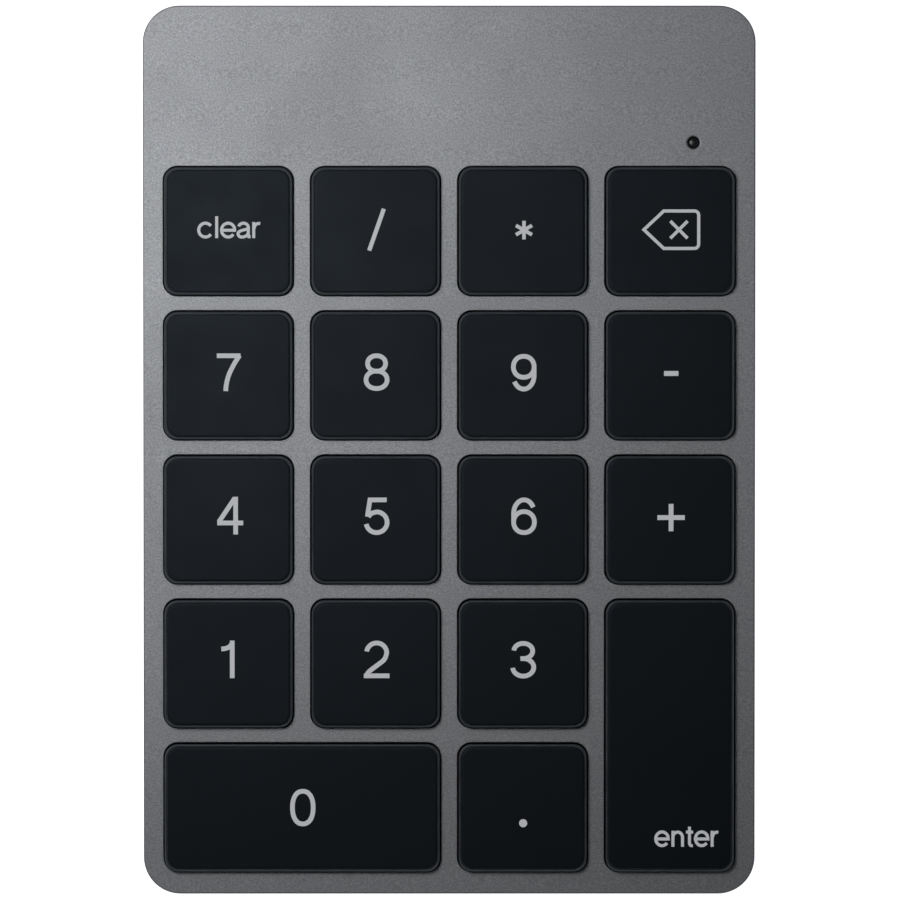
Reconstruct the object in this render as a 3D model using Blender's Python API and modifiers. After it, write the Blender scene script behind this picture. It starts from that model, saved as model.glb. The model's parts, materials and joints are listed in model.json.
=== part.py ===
"""Slim wireless numeric keypad: an aluminium case with eighteen scissor keys over a rubber dome sheet,
a circuit membrane and a steel plate, and a battery and main board in the deeper rear of the wedge.

Metres, +Z up. X runs to the right, Y to the rear, and the feet stand on Z = 0. The deck, the flat top
that holds the keys, rises to the rear, so the keys and what is under them hang from a tilted empty.
Heights that are called "above the deck" are measured square to it, in that empty's frame.
"""

import math

import bmesh
import bpy
from mathutils import Matrix, Vector

MM = 0.001

# Case
BODY_WIDTH = 79.3 * MM
BODY_LENGTH = 115.1 * MM
CORNER_RADIUS = 4.8 * MM
FRONT_HEIGHT = 5.6 * MM
DECK_TILT = math.radians(2.0)
DECK_THICKNESS = 1.3 * MM
WALL = 1.3 * MM
EDGE_CHAMFER = 0.3 * MM
UNDERSIDE = 0.8 * MM
TALL = 20 * MM
REACH = 2 * MM

# Key field
PITCH_X = 19.05 * MM
PITCH_Y = 18.68 * MM
WELL_X = 16.9 * MM
WELL_Y = 16.8 * MM
WELL_RADIUS = 1.85 * MM
WELL_GAP = 0.25 * MM
REAR_MARGIN = 20.75 * MM
TOP_ROW_Y = BODY_LENGTH / 2 - REAR_MARGIN - WELL_Y / 2

# Keycaps, as heights above the deck
CAP_TOP = 1.6 * MM
CAP_CEILING = 0.7 * MM
CAP_BOTTOM = -0.6 * MM
CAP_DRAFT = 0.32 * MM
CAP_EDGE = 0.3 * MM
CAP_SKIRT = 0.95 * MM
CAP_RADIUS = WELL_RADIUS - WELL_GAP
KEY_TRAVEL = 1.6 * MM

# The stack under the keys, as heights above the deck
DOME_SHEET_TOP = -2.45 * MM
DOME_SHEET_BOTTOM = -2.75 * MM
MEMBRANE_TOP = -2.8 * MM
MEMBRANE_BOTTOM = -3.05 * MM
PLATE_TOP = -3.1 * MM
PLATE_BOTTOM = -3.5 * MM
STACK_HALF_WIDTH = 36.6 * MM
STACK_FRONT = -54.9 * MM
STACK_REAR = 38.2 * MM
STACK_CORNER = 3.0 * MM
DOME_HOLE_RADIUS = 2.75 * MM

# Scissor frames
SCISSOR_CENTRE = (DOME_SHEET_TOP + CAP_CEILING) / 2
SCISSOR_RISE = 1.04 * MM
FRAME_THICKNESS = 0.7 * MM
BAR = 0.9 * MM
OUTER_FRAME = (13.2 * MM, 12.4 * MM)
INNER_FRAME = (10.8 * MM, 10.0 * MM)
PIVOT_RADIUS = 0.32 * MM
HOOK_HALF_WIDTH = 2.0 * MM
HOOK_SHEET = 0.35 * MM
HOOK_TOP = -1.0 * MM
LUG_HALF_WIDTH = 1.5 * MM
LUG_BOTTOM = -0.6 * MM
CLEAR = 0.12 * MM
SLOT_MARGIN = 0.2 * MM

# Stabiliser wires of the two long keys
WIRE_RADIUS = 0.35 * MM
WIRE_SIDE = 6.75 * MM
WIRE_LOW = -1.95 * MM
WIRE_HIGH = 0.24 * MM
WIRE_LEG = 5.0 * MM
WIRE_HALF_LENGTH = 12.5 * MM
WIRE_TIP = 1.4 * MM
WIRE_HOOK_X = 9.5 * MM
WIRE_HOOK_HALF_WIDTH = 1.0 * MM

# Bottom cover, as heights above the table
COVER_GAP = 0.15 * MM
COVER_TOP = 1.9 * MM
RIM_TOP = 2.6 * MM
RIM = 1.0 * MM
FOOT_RADIUS = 4.5 * MM
FOOT_TOP = 1.25 * MM
FOOT_CHAMFER = 0.3 * MM
FOOT_RECESS_TOP = 1.3 * MM
FEET = {
    "front_left": (-31 * MM, -48.5 * MM),
    "front_right": (31 * MM, -48.5 * MM),
    "rear_left": (-29 * MM, 46.5 * MM),
    "rear_right": (29 * MM, 46.5 * MM),
}
POSTS = [(-4.9 * MM, 42.5 * MM), (29.5 * MM, 53.4 * MM)]
POST_RADIUS = 1.2 * MM

# Studs that hold the plate up against the deck, as heights above the deck
STUDS = [(x * PITCH_X, TOP_ROW_Y - row * PITCH_Y) for row in (0.5, 3.5) for x in (-1, 1)]
STUD_RADIUS = 0.95 * MM
STUD_NECK_RADIUS = 0.6 * MM
STUD_HEAD_RADIUS = 1.05 * MM
STUD_HEAD_BOTTOM = PLATE_BOTTOM - 0.4 * MM

# Screws and their bosses
SCREWS = {
    "front_left": (-PITCH_X, TOP_ROW_Y - 2.5 * PITCH_Y),
    "front_right": (PITCH_X, TOP_ROW_Y - 2.5 * PITCH_Y),
    "rear_left": (-35.6 * MM, 53.3 * MM),
    "rear_right": (35.6 * MM, 53.3 * MM),
}
BOSS_RADIUS = 1.9 * MM
BOSS_NECK_RADIUS = 1.35 * MM
BOSS_SHOULDER = 4.0 * MM
BOSS_BOTTOM = 2.8 * MM
BOSS_HOLE_RADIUS = 0.87 * MM
BOSS_HOLE_TOP = 5.3 * MM
COVER_BOSS_RADIUS = 2.3 * MM
COVER_BOSS_TOP = 2.7 * MM
SCREW_HEAD_RADIUS = 1.45 * MM
SCREW_HEAD_BOTTOM = 1.0 * MM
SCREW_HEAD_TOP = 1.85 * MM
SCREW_SHANK_RADIUS = 0.8 * MM
SCREW_TIP = 5.0 * MM

# Main board and what is on it
BOARD_BOTTOM = 4.1 * MM
BOARD_TOP = 4.9 * MM
BOARD_X = (-7 * MM, 33 * MM)
BOARD_Y = (38.7 * MM, 55.9 * MM)
PORT_X = 0.0
PORT_Z = 4.6 * MM
PORT_WIDTH = 8.94 * MM
PORT_HEIGHT = 3.2 * MM
PORT_SHELL = 0.3 * MM
PORT_DEPTH = 7.3 * MM
PORT_MOUTH = BODY_LENGTH / 2 - 0.3 * MM
SWITCH_X = 22 * MM
SWITCH_TRAVEL = 2.0 * MM
SWITCH_BODY = (8.0 * MM, 3.8 * MM, 2.8 * MM)
SWITCH_BODY_REAR = 55.8 * MM
KNOB = (2.6 * MM, 2.0 * MM)
BUTTON_AT = (12 * MM, 46 * MM)
BUTTON_RADIUS = 2.2 * MM
LED_X = 31.6 * MM
LED_Y = 39.85 * MM
LED_HOLE_RADIUS = 0.8 * MM
LED_HALF = 0.8 * MM
LED_TOP = 5.45 * MM
TACT_HALF = 1.5 * MM
TACT_BOTTOM = 2.95 * MM
PLUNGER_RADIUS = 0.7 * MM
PLUNGER_BOTTOM = 2.75 * MM
TAIL_X = 20 * MM
TAIL_HALF_WIDTH = 6 * MM
CONNECTOR_Y = (42.4 * MM, 45.0 * MM)
CONNECTOR_TOP = 6.1 * MM
MODULE_LOW = (8.5 * MM, 46.5 * MM, 5.0 * MM)
MODULE_HIGH = (16.5 * MM, 54.5 * MM, 6.5 * MM)

# Battery
BATTERY_LOW = (-32.6 * MM, 40.2 * MM, 2.2 * MM)
BATTERY_HIGH = (-9 * MM, 54.8 * MM, 6.2 * MM)
PLUG_LOW = (-6.2 * MM, 44.2 * MM, 5.0 * MM)
PLUG_HIGH = (-2.4 * MM, 47.8 * MM, 6.4 * MM)
LEAD_RADIUS = 0.42 * MM
LEAD_SPREAD = 0.6 * MM
LEAD_Z = 5.65 * MM

DECK_CENTRE_HEIGHT = FRONT_HEIGHT + BODY_LENGTH / 2 * math.tan(DECK_TILT)
DECK_NORMAL = Vector((0, -math.sin(DECK_TILT), math.cos(DECK_TILT)))

# Stands a section drawn in X and Y upright: its X runs to the rear, its Y up, and its depth along X.
SECTION_UPRIGHT = Matrix(((0, 0, 1, 0), (1, 0, 0, 0), (0, 1, 0, 0), (0, 0, 0, 1)))

# Each key as name: (column, row, columns wide, rows deep)
KEYS = {
    "clear": (0, 0, 1, 1),
    "divide": (1, 0, 1, 1),
    "multiply": (2, 0, 1, 1),
    "backspace": (3, 0, 1, 1),
    "7": (0, 1, 1, 1),
    "8": (1, 1, 1, 1),
    "9": (2, 1, 1, 1),
    "minus": (3, 1, 1, 1),
    "4": (0, 2, 1, 1),
    "5": (1, 2, 1, 1),
    "6": (2, 2, 1, 1),
    "plus": (3, 2, 1, 1),
    "1": (0, 3, 1, 1),
    "2": (1, 3, 1, 1),
    "3": (2, 3, 1, 1),
    "enter": (3, 3, 1, 2),
    "0": (0, 4, 2, 1),
    "decimal": (2, 4, 1, 1),
}


# ---------------------------------------------------------------- scene helpers


def clear_scene():
    for obj in list(bpy.data.objects):
        bpy.data.objects.remove(obj)


def new_collection(name):
    collection = bpy.data.collections.new(name)
    bpy.context.scene.collection.children.link(collection)
    return collection


def plain_material(name, colour, roughness, metallic=0.0):
    material = bpy.data.materials.new(name)
    material.use_nodes = True
    shader = material.node_tree.nodes["Principled BSDF"]
    shader.inputs["Base Color"].default_value = (*colour, 1.0)
    shader.inputs["Roughness"].default_value = roughness
    shader.inputs["Metallic"].default_value = metallic
    return material


def key_centre(column, row, wide, deep):
    """A key's centre on the deck, from its place in the key field."""
    x = (column + (wide - 1) / 2 - 1.5) * PITCH_X
    y = TOP_ROW_Y - (row + (deep - 1) / 2) * PITCH_Y
    return x, y


def well_size(column, row, wide, deep):
    return WELL_X + (wide - 1) * PITCH_X, WELL_Y + (deep - 1) * PITCH_Y


def place(obj, collection, location=(0, 0, 0), parent=None, turn=0.0):
    collection.objects.link(obj)
    obj.parent = parent
    obj.location = location
    obj.rotation_euler = (0, 0, turn)
    return obj


def make_object(name, mesh, material=None):
    if material and not mesh.materials:
        mesh.materials.append(material)
    return bpy.data.objects.new(name, mesh)


def to_mesh(bm, name):
    """Turns a bmesh into mesh data with its faces pointing out."""
    bmesh.ops.recalc_face_normals(bm, faces=bm.faces)
    mesh = bpy.data.meshes.new(name)
    bm.to_mesh(mesh)
    bm.free()
    return mesh


def baked_mesh(obj):
    """The evaluated mesh of a working object, which is then removed."""
    bpy.context.view_layer.update()
    graph = bpy.context.evaluated_depsgraph_get()
    mesh = bpy.data.meshes.new_from_object(obj.evaluated_get(graph))
    bpy.data.objects.remove(obj)
    return mesh


def round_shading(mesh):
    mesh.shade_smooth()
    mesh.set_sharp_from_angle(angle=math.radians(35))


def use_boolean(obj, other, operation):
    modifier = obj.modifiers.new(f"{operation.title()} {other.name}", "BOOLEAN")
    modifier.operation = operation
    modifier.object = other


def part_from(name, bm, collection, material):
    return place(make_object(name, to_mesh(bm, name), material), collection)


def as_helper(obj, collection, parent=None, location=(0, 0, 0)):
    """Puts a cutter, or a shape to be joined, where modifiers can use it but no render shows it."""
    place(obj, collection, location, parent)
    obj.hide_render = True
    obj.display_type = "WIRE"
    return obj


def helper_from(name, bm, collection, parent=None, location=(0, 0, 0)):
    return as_helper(make_object(name, to_mesh(bm, name)), collection, parent, location)


def thin_tube(name, points, radius):
    """A round wire or insulated lead along the points, with closed ends."""
    curve = bpy.data.curves.new(name, "CURVE")
    curve.dimensions = "3D"
    curve.bevel_depth = radius
    curve.bevel_resolution = 1
    curve.use_fill_caps = True
    spline = curve.splines.new("POLY")
    spline.points.add(len(points) - 1)
    for point, co in zip(spline.points, points):
        point.co = (*co, 1)
    return bpy.data.objects.new(name, curve)


# ---------------------------------------------------------------- shape helpers


def add_box(bm, low, high, radius=0.0, steps=3, bevel_axis=2):
    """Adds a box between two corners. A radius rounds the four edges that run along bevel_axis."""
    low, high = Vector(low), Vector(high)
    size = high - low
    matrix = Matrix.Translation((low + high) / 2) @ Matrix.Diagonal((*size, 1))
    verts = bmesh.ops.create_cube(bm, size=1, matrix=matrix)["verts"]
    if radius:
        edges = {e for v in verts for e in v.link_edges}
        along = [e for e in edges if abs((e.verts[0].co - e.verts[1].co)[bevel_axis]) > 1e-9]
        bmesh.ops.bevel(bm, geom=along, offset=radius, segments=steps, profile=0.5, affect="EDGES")


def add_cylinder(bm, centre, radius, low, high, steps=16):
    """Adds an upright cylinder between two heights."""
    matrix = Matrix.Translation((centre[0], centre[1], (low + high) / 2))
    bmesh.ops.create_cone(
        bm, cap_ends=True, segments=steps, radius1=radius, radius2=radius, depth=high - low, matrix=matrix
    )


def rectangle(x0, y0, x1, y1):
    return [(x0, y0), (x1, y0), (x1, y1), (x0, y1)]


def outline_mesh(name, outlines, bottom, top):
    """A flat piece between two heights. The first outline is its edge and the rest are holes."""
    curve = bpy.data.curves.new(name, "CURVE")
    curve.dimensions = "2D"
    curve.fill_mode = "BOTH"
    curve.extrude = (top - bottom) / 2
    for outline in outlines:
        spline = curve.splines.new("POLY")
        spline.points.add(len(outline) - 1)
        spline.use_cyclic_u = True
        for point, (x, y) in zip(spline.points, outline):
            point.co = (x, y, 0, 1)
    obj = bpy.data.objects.new(name, curve)
    bpy.context.scene.collection.objects.link(obj)
    bm = bmesh.new()
    bm.from_mesh(baked_mesh(obj))
    bmesh.ops.remove_doubles(bm, verts=bm.verts, dist=1e-6)
    bmesh.ops.translate(bm, verts=bm.verts, vec=(0, 0, (top + bottom) / 2))
    return to_mesh(bm, name)


def turned_mesh(name, profile, steps):
    """A solid turned about Z. The profile is (radius, height) pairs, down its outer side first."""
    mesh = bpy.data.meshes.new(name)
    edges = [(k, k + 1) for k in range(len(profile) - 1)]
    mesh.from_pydata([(r, 0, z) for r, z in profile], edges, [])
    obj = bpy.data.objects.new(name, mesh)
    bpy.context.scene.collection.objects.link(obj)
    screw = obj.modifiers.new("Turn", "SCREW")
    screw.steps = steps
    screw.render_steps = steps
    screw.use_merge_vertices = True
    screw.merge_threshold = 1e-6
    return baked_mesh(obj)


def hook_mesh(name, half_width, reach, bottom, top, lip_bottom):
    """An L-shaped sheet hook: a stem at Y = 0 that ends in a lip reaching towards +Y."""
    stem = HOOK_SHEET
    profile = [(0, bottom), (stem, bottom), (stem, lip_bottom), (reach, lip_bottom), (reach, top), (0, top)]
    mesh = outline_mesh(name, [profile], -half_width, half_width)
    mesh.transform(SECTION_UPRIGHT)
    return mesh


def add_mesh(bm, mesh, matrix):
    """Adds a copy of a mesh, moved by a matrix, to a bmesh."""
    copy = mesh.copy()
    copy.transform(matrix)
    bm.from_mesh(copy)
    bpy.data.meshes.remove(copy)


def at(x, y, z=0.0, turn=0.0):
    return Matrix.Translation((x, y, z)) @ Matrix.Rotation(turn, 4, "Z")


# ---------------------------------------------------------------- keycaps, scissors and wires


def is_single(column, row, wide, deep):
    return wide == deep == 1


def key_turn(column, row, wide, deep):
    """The scissor and wire of a deep key lie across it, a quarter turn round."""
    return math.pi / 2 if deep > wide else 0.0


def key_frame(*key):
    """The matrix from a key's own frame, where its scissor pivots about X, to the deck's."""
    return at(*key_centre(*key), 0, key_turn(*key))


def outer_bar():
    """Where the scissor's outer cross bars are centred, to the front and rear of the key's centre."""
    return OUTER_FRAME[1] / 2 - BAR / 2


def inner_bar():
    return INNER_FRAME[1] / 2 - BAR / 2


def bar_tilt(distance):
    """The tilt that lifts a cross bar at this distance from the pivot to its resting height."""
    return math.asin(SCISSOR_RISE / distance)


def bar_half_height(distance):
    """Half the height that a tilted cross bar takes up, with the clearance it needs."""
    tilt = bar_tilt(distance)
    return (FRAME_THICKNESS * math.cos(tilt) + BAR * math.sin(tilt)) / 2 + CLEAR


def bar_near_side(distance):
    """How far from the pivot the near side of a tilted cross bar is."""
    tilt = bar_tilt(distance)
    half = (BAR * math.cos(tilt) + FRAME_THICKNESS * math.sin(tilt)) / 2
    return distance * math.cos(tilt) - half


def outer_stem():
    """How far from the pivot the outside of a hook's stem is, for a hook round an outer cross bar."""
    return outer_bar() + BAR / 2 + CLEAR + HOOK_SHEET


def inner_stem():
    """How far from the pivot the inside of a hook's stem is, for a hook round an inner cross bar."""
    return bar_near_side(inner_bar()) - CLEAR - HOOK_SHEET


def frame_ring(size, tilt):
    """A rectangular scissor frame, tilted about the pivot that it shares with the other frame."""
    x, y = size[0] / 2, size[1] / 2
    outlines = [rectangle(-x, -y, x, y), rectangle(-x + BAR, -y + BAR, x - BAR, y - BAR)]
    ring = outline_mesh("frame", outlines, -FRAME_THICKNESS / 2, FRAME_THICKNESS / 2)
    ring.transform(Matrix.Rotation(tilt, 4, "X"))
    return ring


def build_scissor_mesh(helpers):
    """The outer frame, low at the front, and the inner frame, low at the rear, on their two pivot pins."""
    outer = frame_ring(OUTER_FRAME, bar_tilt(outer_bar()))
    inner = frame_ring(INNER_FRAME, -bar_tilt(inner_bar()))
    pins = bmesh.new()
    for side in (-1, 1):
        middle = side * (OUTER_FRAME[0] + INNER_FRAME[0] - 2 * BAR) / 4
        matrix = Matrix.Translation((middle, 0, 0)) @ Matrix.Rotation(math.pi / 2, 4, "Y")
        size = {"radius1": PIVOT_RADIUS, "radius2": PIVOT_RADIUS, "depth": BAR}
        bmesh.ops.create_cone(pins, cap_ends=True, segments=6, matrix=matrix, **size)
    pin_obj = helper_from("scissor_pins", pins, helpers)
    inner_obj = as_helper(make_object("scissor_inner_frame", inner), helpers)
    body = make_object("scissor_outer_frame", outer)
    bpy.context.scene.collection.objects.link(body)
    use_boolean(body, pin_obj, "UNION")
    use_boolean(body, inner_obj, "UNION")
    mesh = baked_mesh(body)
    mesh.transform(Matrix.Translation((0, 0, SCISSOR_CENTRE)))
    for used in (pin_obj, inner_obj):
        bpy.data.objects.remove(used)
    return mesh


def cap_lugs(long_key):
    """The hooks under a keycap that hold the scissor's raised bars and, on a long key, the wire's tips.

    A long key's outer bar runs against a short guide instead, which stays above the wire when the key is down.
    """
    bm = bmesh.new()
    root = CAP_CEILING + 0.3 * MM
    held = [(inner_bar(), -inner_stem())]
    if long_key:
        guide_bottom = WIRE_LOW + WIRE_RADIUS + KEY_TRAVEL + CLEAR
        near, far = outer_stem() - HOOK_SHEET, outer_stem()
        add_box(bm, (-LUG_HALF_WIDTH, near, guide_bottom), (LUG_HALF_WIDTH, far, root))
    else:
        held.append((outer_bar(), outer_stem()))
    for distance, stem in held:
        low = SCISSOR_CENTRE + SCISSOR_RISE - bar_half_height(distance)
        hook = hook_mesh("lug", LUG_HALF_WIDTH, BAR + CLEAR, -root, -LUG_BOTTOM, -low)
        hook.transform(Matrix.Rotation(math.pi, 4, "Y"))
        add_mesh(bm, hook, at(0, stem, 0, math.pi))
    if long_key:
        lip_top = WIRE_HIGH - WIRE_RADIUS - CLEAR
        hook = hook_mesh("lug", LUG_HALF_WIDTH, WIRE_TIP, -root, -LUG_BOTTOM, -lip_top)
        hook.transform(Matrix.Rotation(math.pi, 4, "Y"))
        tip_y = WIRE_SIDE - wire_run(0.0)
        for side in (-1, 1):
            outside = side * (WIRE_HALF_LENGTH + WIRE_TIP + CLEAR + HOOK_SHEET)
            add_mesh(bm, hook, at(outside, tip_y - 0.25 * MM, 0, side * math.pi / 2))
    return bm


def build_cap_mesh(name, width, length, helpers, long_key=False, turn=0.0):
    """A hollow keycap with drafted sides and a softened top edge, open below."""
    bm = bmesh.new()
    x, y = width / 2 - WELL_GAP, length / 2 - WELL_GAP
    add_box(bm, (-x, -y, CAP_BOTTOM), (x, y, CAP_TOP), CAP_RADIUS)
    for vert in bm.verts:
        if vert.co.z > CAP_CEILING:
            vert.co.x -= math.copysign(CAP_DRAFT, vert.co.x)
            vert.co.y -= math.copysign(CAP_DRAFT, vert.co.y)
    rim = [e for e in bm.edges if all(v.co.z > CAP_CEILING for v in e.verts)]
    bmesh.ops.bevel(bm, geom=rim, offset=CAP_EDGE, segments=1, profile=0.5, affect="EDGES")
    floor = [f for f in bm.faces if all(v.co.z < CAP_BOTTOM + 1e-6 for v in f.verts)]
    bmesh.ops.inset_region(bm, faces=floor, thickness=CAP_SKIRT, use_even_offset=True)
    ceiling = bmesh.ops.extrude_discrete_faces(bm, faces=floor)["faces"]
    bmesh.ops.translate(bm, verts=ceiling[0].verts, vec=(0, 0, CAP_CEILING - CAP_BOTTOM))
    body = make_object(name, to_mesh(bm, name))
    bpy.context.scene.collection.objects.link(body)
    lugs = to_mesh(cap_lugs(long_key), "lugs")
    lugs.transform(Matrix.Rotation(turn, 4, "Z"))
    lug_obj = as_helper(make_object(name + "_lugs", lugs), helpers)
    use_boolean(body, lug_obj, "UNION")
    mesh = baked_mesh(body)
    bpy.data.objects.remove(lug_obj)
    round_shading(mesh)
    return mesh


def wire_run(travel):
    """How far the wire's leg reaches sideways once the key has gone down by travel."""
    rise = WIRE_HIGH - WIRE_LOW - travel
    return math.sqrt(WIRE_LEG**2 - rise**2)


def build_wire(name, collection, deck, material, centre, turn):
    """A sprung steel wire whose long run turns in the plate's hooks and whose tips lift with the key."""
    half, tip_y, tip_z = WIRE_HALF_LENGTH, -wire_run(0.0), WIRE_HIGH - WIRE_LOW
    corner = WIRE_RADIUS * 1.6
    up = Vector((0, tip_y, tip_z)).normalized()
    right_side = [
        Vector((half - corner, 0, 0)),
        Vector((half, 0, 0)) + up * corner,
        Vector((half, tip_y, tip_z)) - up * corner,
        Vector((half + corner, tip_y, tip_z)),
        Vector((half + WIRE_TIP, tip_y, tip_z)),
    ]
    left_side = [Vector((-p.x, p.y, p.z)) for p in reversed(right_side)]
    obj = thin_tube(name, left_side + right_side, WIRE_RADIUS)
    obj.data.materials.append(material)
    pivot = Vector((*centre, 0)) + Matrix.Rotation(turn, 3, "Z") @ Vector((0, WIRE_SIDE, WIRE_LOW))
    return place(obj, collection, pivot, deck, turn)


def build_keys(parts, helpers, deck, materials):
    scissor = build_scissor_mesh(helpers)
    single = build_cap_mesh("cap", WELL_X, WELL_Y, helpers)
    for name, key in KEYS.items():
        centre = key_centre(*key)
        turn = key_turn(*key)
        if is_single(*key):
            cap = single
        else:
            cap = build_cap_mesh("cap_" + name, *well_size(*key), helpers, True, turn)
            build_wire("stabilizer_wire_" + name, parts, deck, materials["steel"], centre, turn)
        place(make_object("keycap_" + name, cap, materials["keycap"]), parts, (*centre, 0), deck)
        frames = make_object("scissor_" + name, scissor, materials["scissor"])
        place(frames, parts, (*centre, 0), deck, turn)


# ---------------------------------------------------------------- plate, membrane and dome sheet


def hook_places():
    """Where the plate's two hooks for a key's scissor stand. Both have their lips to the rear."""
    return (-outer_stem(), inner_stem())


def wire_hook_y():
    """Where the stems of the hooks that hold a stabiliser wire stand, in the key's frame."""
    return WIRE_SIDE - WIRE_RADIUS - CLEAR - HOOK_SHEET


def build_sheet_slots(helpers, deck):
    """Cuts the two soft sheets so that the plate's hooks and the front bosses pass through them."""
    bm = bmesh.new()
    low, high = MEMBRANE_BOTTOM - MM, DOME_SHEET_TOP + MM
    for key in KEYS.values():
        slots = bmesh.new()
        x = HOOK_HALF_WIDTH + SLOT_MARGIN
        for y in hook_places():
            reach = HOOK_SHEET + CLEAR + BAR
            add_box(slots, (-x, y - SLOT_MARGIN, low), (x, y + reach + SLOT_MARGIN, high))
        if not is_single(*key):
            y, x = wire_hook_y(), WIRE_HOOK_HALF_WIDTH + SLOT_MARGIN
            reach = HOOK_SHEET + CLEAR + 2 * WIRE_RADIUS
            for middle in (-WIRE_HOOK_X, WIRE_HOOK_X):
                near, far = (middle - x, y - SLOT_MARGIN, low), (middle + x, y + reach + SLOT_MARGIN, high)
                add_box(slots, near, far)
        add_mesh(bm, to_mesh(slots, "slots"), key_frame(*key))
    for name in ("front_left", "front_right"):
        add_cylinder(bm, SCREWS[name], BOSS_RADIUS + 0.25 * MM, low, high, 12)
    for centre in STUDS:
        add_cylinder(bm, centre, STUD_RADIUS + 0.2 * MM, low, high, 8)
    return helper_from("sheet_slots", bm, helpers, deck)


def build_sheet(name, parts, deck, material, low, high):
    bm = bmesh.new()
    near, far = (-STACK_HALF_WIDTH, STACK_FRONT, low), (STACK_HALF_WIDTH, STACK_REAR, high)
    add_box(bm, near, far, STACK_CORNER)
    return place(make_object(name, to_mesh(bm, name), material), parts, parent=deck)


def build_support_plate(parts, helpers, deck, material):
    """The steel plate with the hooks that hold the scissors and the stabiliser wires."""
    obj = build_sheet("support_plate", parts, deck, material, PLATE_BOTTOM, PLATE_TOP)
    bm = bmesh.new()
    for name in ("front_left", "front_right"):
        add_cylinder(bm, SCREWS[name], BOSS_NECK_RADIUS + 0.2 * MM, PLATE_BOTTOM - MM, PLATE_TOP + MM, 12)
    for centre in STUDS:
        add_cylinder(bm, centre, STUD_NECK_RADIUS + 0.1 * MM, PLATE_BOTTOM - MM, PLATE_TOP + MM, 8)
    holes = helper_from("plate_holes", bm, helpers, deck)
    use_boolean(obj, holes, "DIFFERENCE")
    root = (PLATE_BOTTOM + PLATE_TOP) / 2
    reach = HOOK_SHEET + CLEAR + BAR * 0.8
    lip = SCISSOR_CENTRE - SCISSOR_RISE + bar_half_height(outer_bar()) + 0.04 * MM
    hook = hook_mesh("hook", HOOK_HALF_WIDTH, reach, root, HOOK_TOP, lip)
    wire_lip = WIRE_LOW + WIRE_RADIUS + CLEAR
    wire_reach = HOOK_SHEET + CLEAR + 2 * WIRE_RADIUS
    wire_hook = hook_mesh("hook", WIRE_HOOK_HALF_WIDTH, wire_reach, root, HOOK_TOP, wire_lip)
    bm = bmesh.new()
    for key in KEYS.values():
        for y in hook_places():
            add_mesh(bm, hook, key_frame(*key) @ at(0, y))
        if not is_single(*key):
            for x in (-WIRE_HOOK_X, WIRE_HOOK_X):
                add_mesh(bm, wire_hook, key_frame(*key) @ at(x, wire_hook_y()))
    hooks = helper_from("plate_hooks", bm, helpers, deck)
    use_boolean(obj, hooks, "UNION")


def build_membrane(parts, helpers, deck, slots, material):
    """The printed circuit membrane, with the tail that bends down to the main board's connector."""
    obj = build_sheet("membrane_sheet", parts, deck, material, MEMBRANE_BOTTOM, MEMBRANE_TOP)
    use_boolean(obj, slots, "DIFFERENCE")
    middle = (MEMBRANE_TOP + MEMBRANE_BOTTOM) / 2
    line = [(-0.5, 0), (0.9, 0), (1.6, -0.12), (2.4, -0.6), (3.0, -0.78), (3.9, -0.84)]
    half = (MEMBRANE_TOP - MEMBRANE_BOTTOM) / 2 - 0.02 * MM
    upper = [(STACK_REAR + y * MM, middle + z * MM + half) for y, z in line]
    lower = [(STACK_REAR + y * MM, middle + z * MM - half) for y, z in reversed(line)]
    tail = outline_mesh("tail", [upper + lower], TAIL_X - TAIL_HALF_WIDTH, TAIL_X + TAIL_HALF_WIDTH)
    tail.transform(SECTION_UPRIGHT)
    tail_obj = as_helper(make_object("membrane_tail", tail), helpers, deck)
    use_boolean(obj, tail_obj, "UNION")


def build_dome_sheet(parts, helpers, deck, slots, material):
    """One silicone sheet with a hollow dome under every key."""
    obj = build_sheet("dome_sheet", parts, deck, material, DOME_SHEET_BOTTOM, DOME_SHEET_TOP)
    use_boolean(obj, slots, "DIFFERENCE")
    bm = bmesh.new()
    for key in KEYS.values():
        add_cylinder(bm, key_centre(*key), DOME_HOLE_RADIUS, DOME_SHEET_BOTTOM - MM, DOME_SHEET_TOP + MM, 8)
    holes = helper_from("dome_holes", bm, helpers, deck)
    use_boolean(obj, holes, "DIFFERENCE")
    top, foot = CAP_CEILING - 0.08 * MM, DOME_SHEET_BOTTOM + 0.1 * MM
    profile = [
        (0, top),
        (1.6 * MM, top),
        (1.85 * MM, -0.5 * MM),
        (3.1 * MM, foot),
        (2.45 * MM, foot),
        (1.4 * MM, -0.95 * MM),
        (0, -0.95 * MM),
    ]
    dome = turned_mesh("dome", profile, 8)
    bm = bmesh.new()
    for key in KEYS.values():
        add_mesh(bm, dome, at(*key_centre(*key)))
    domes = helper_from("domes", bm, helpers, deck)
    use_boolean(obj, domes, "UNION")


# ---------------------------------------------------------------- case


def cut_by_deck(bm, drop):
    """Takes off what stands above the deck plane, lowered by drop, and closes the cut."""
    point = Vector((0, 0, DECK_CENTRE_HEIGHT)) - DECK_NORMAL * drop
    everything = bm.verts[:] + bm.edges[:] + bm.faces[:]
    cut = bmesh.ops.bisect_plane(bm, geom=everything, plane_co=point, plane_no=DECK_NORMAL, clear_outer=True)
    edges = [e for e in cut["geom_cut"] if isinstance(e, bmesh.types.BMEdge)]
    bmesh.ops.contextual_create(bm, geom=edges)
    return edges


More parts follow.
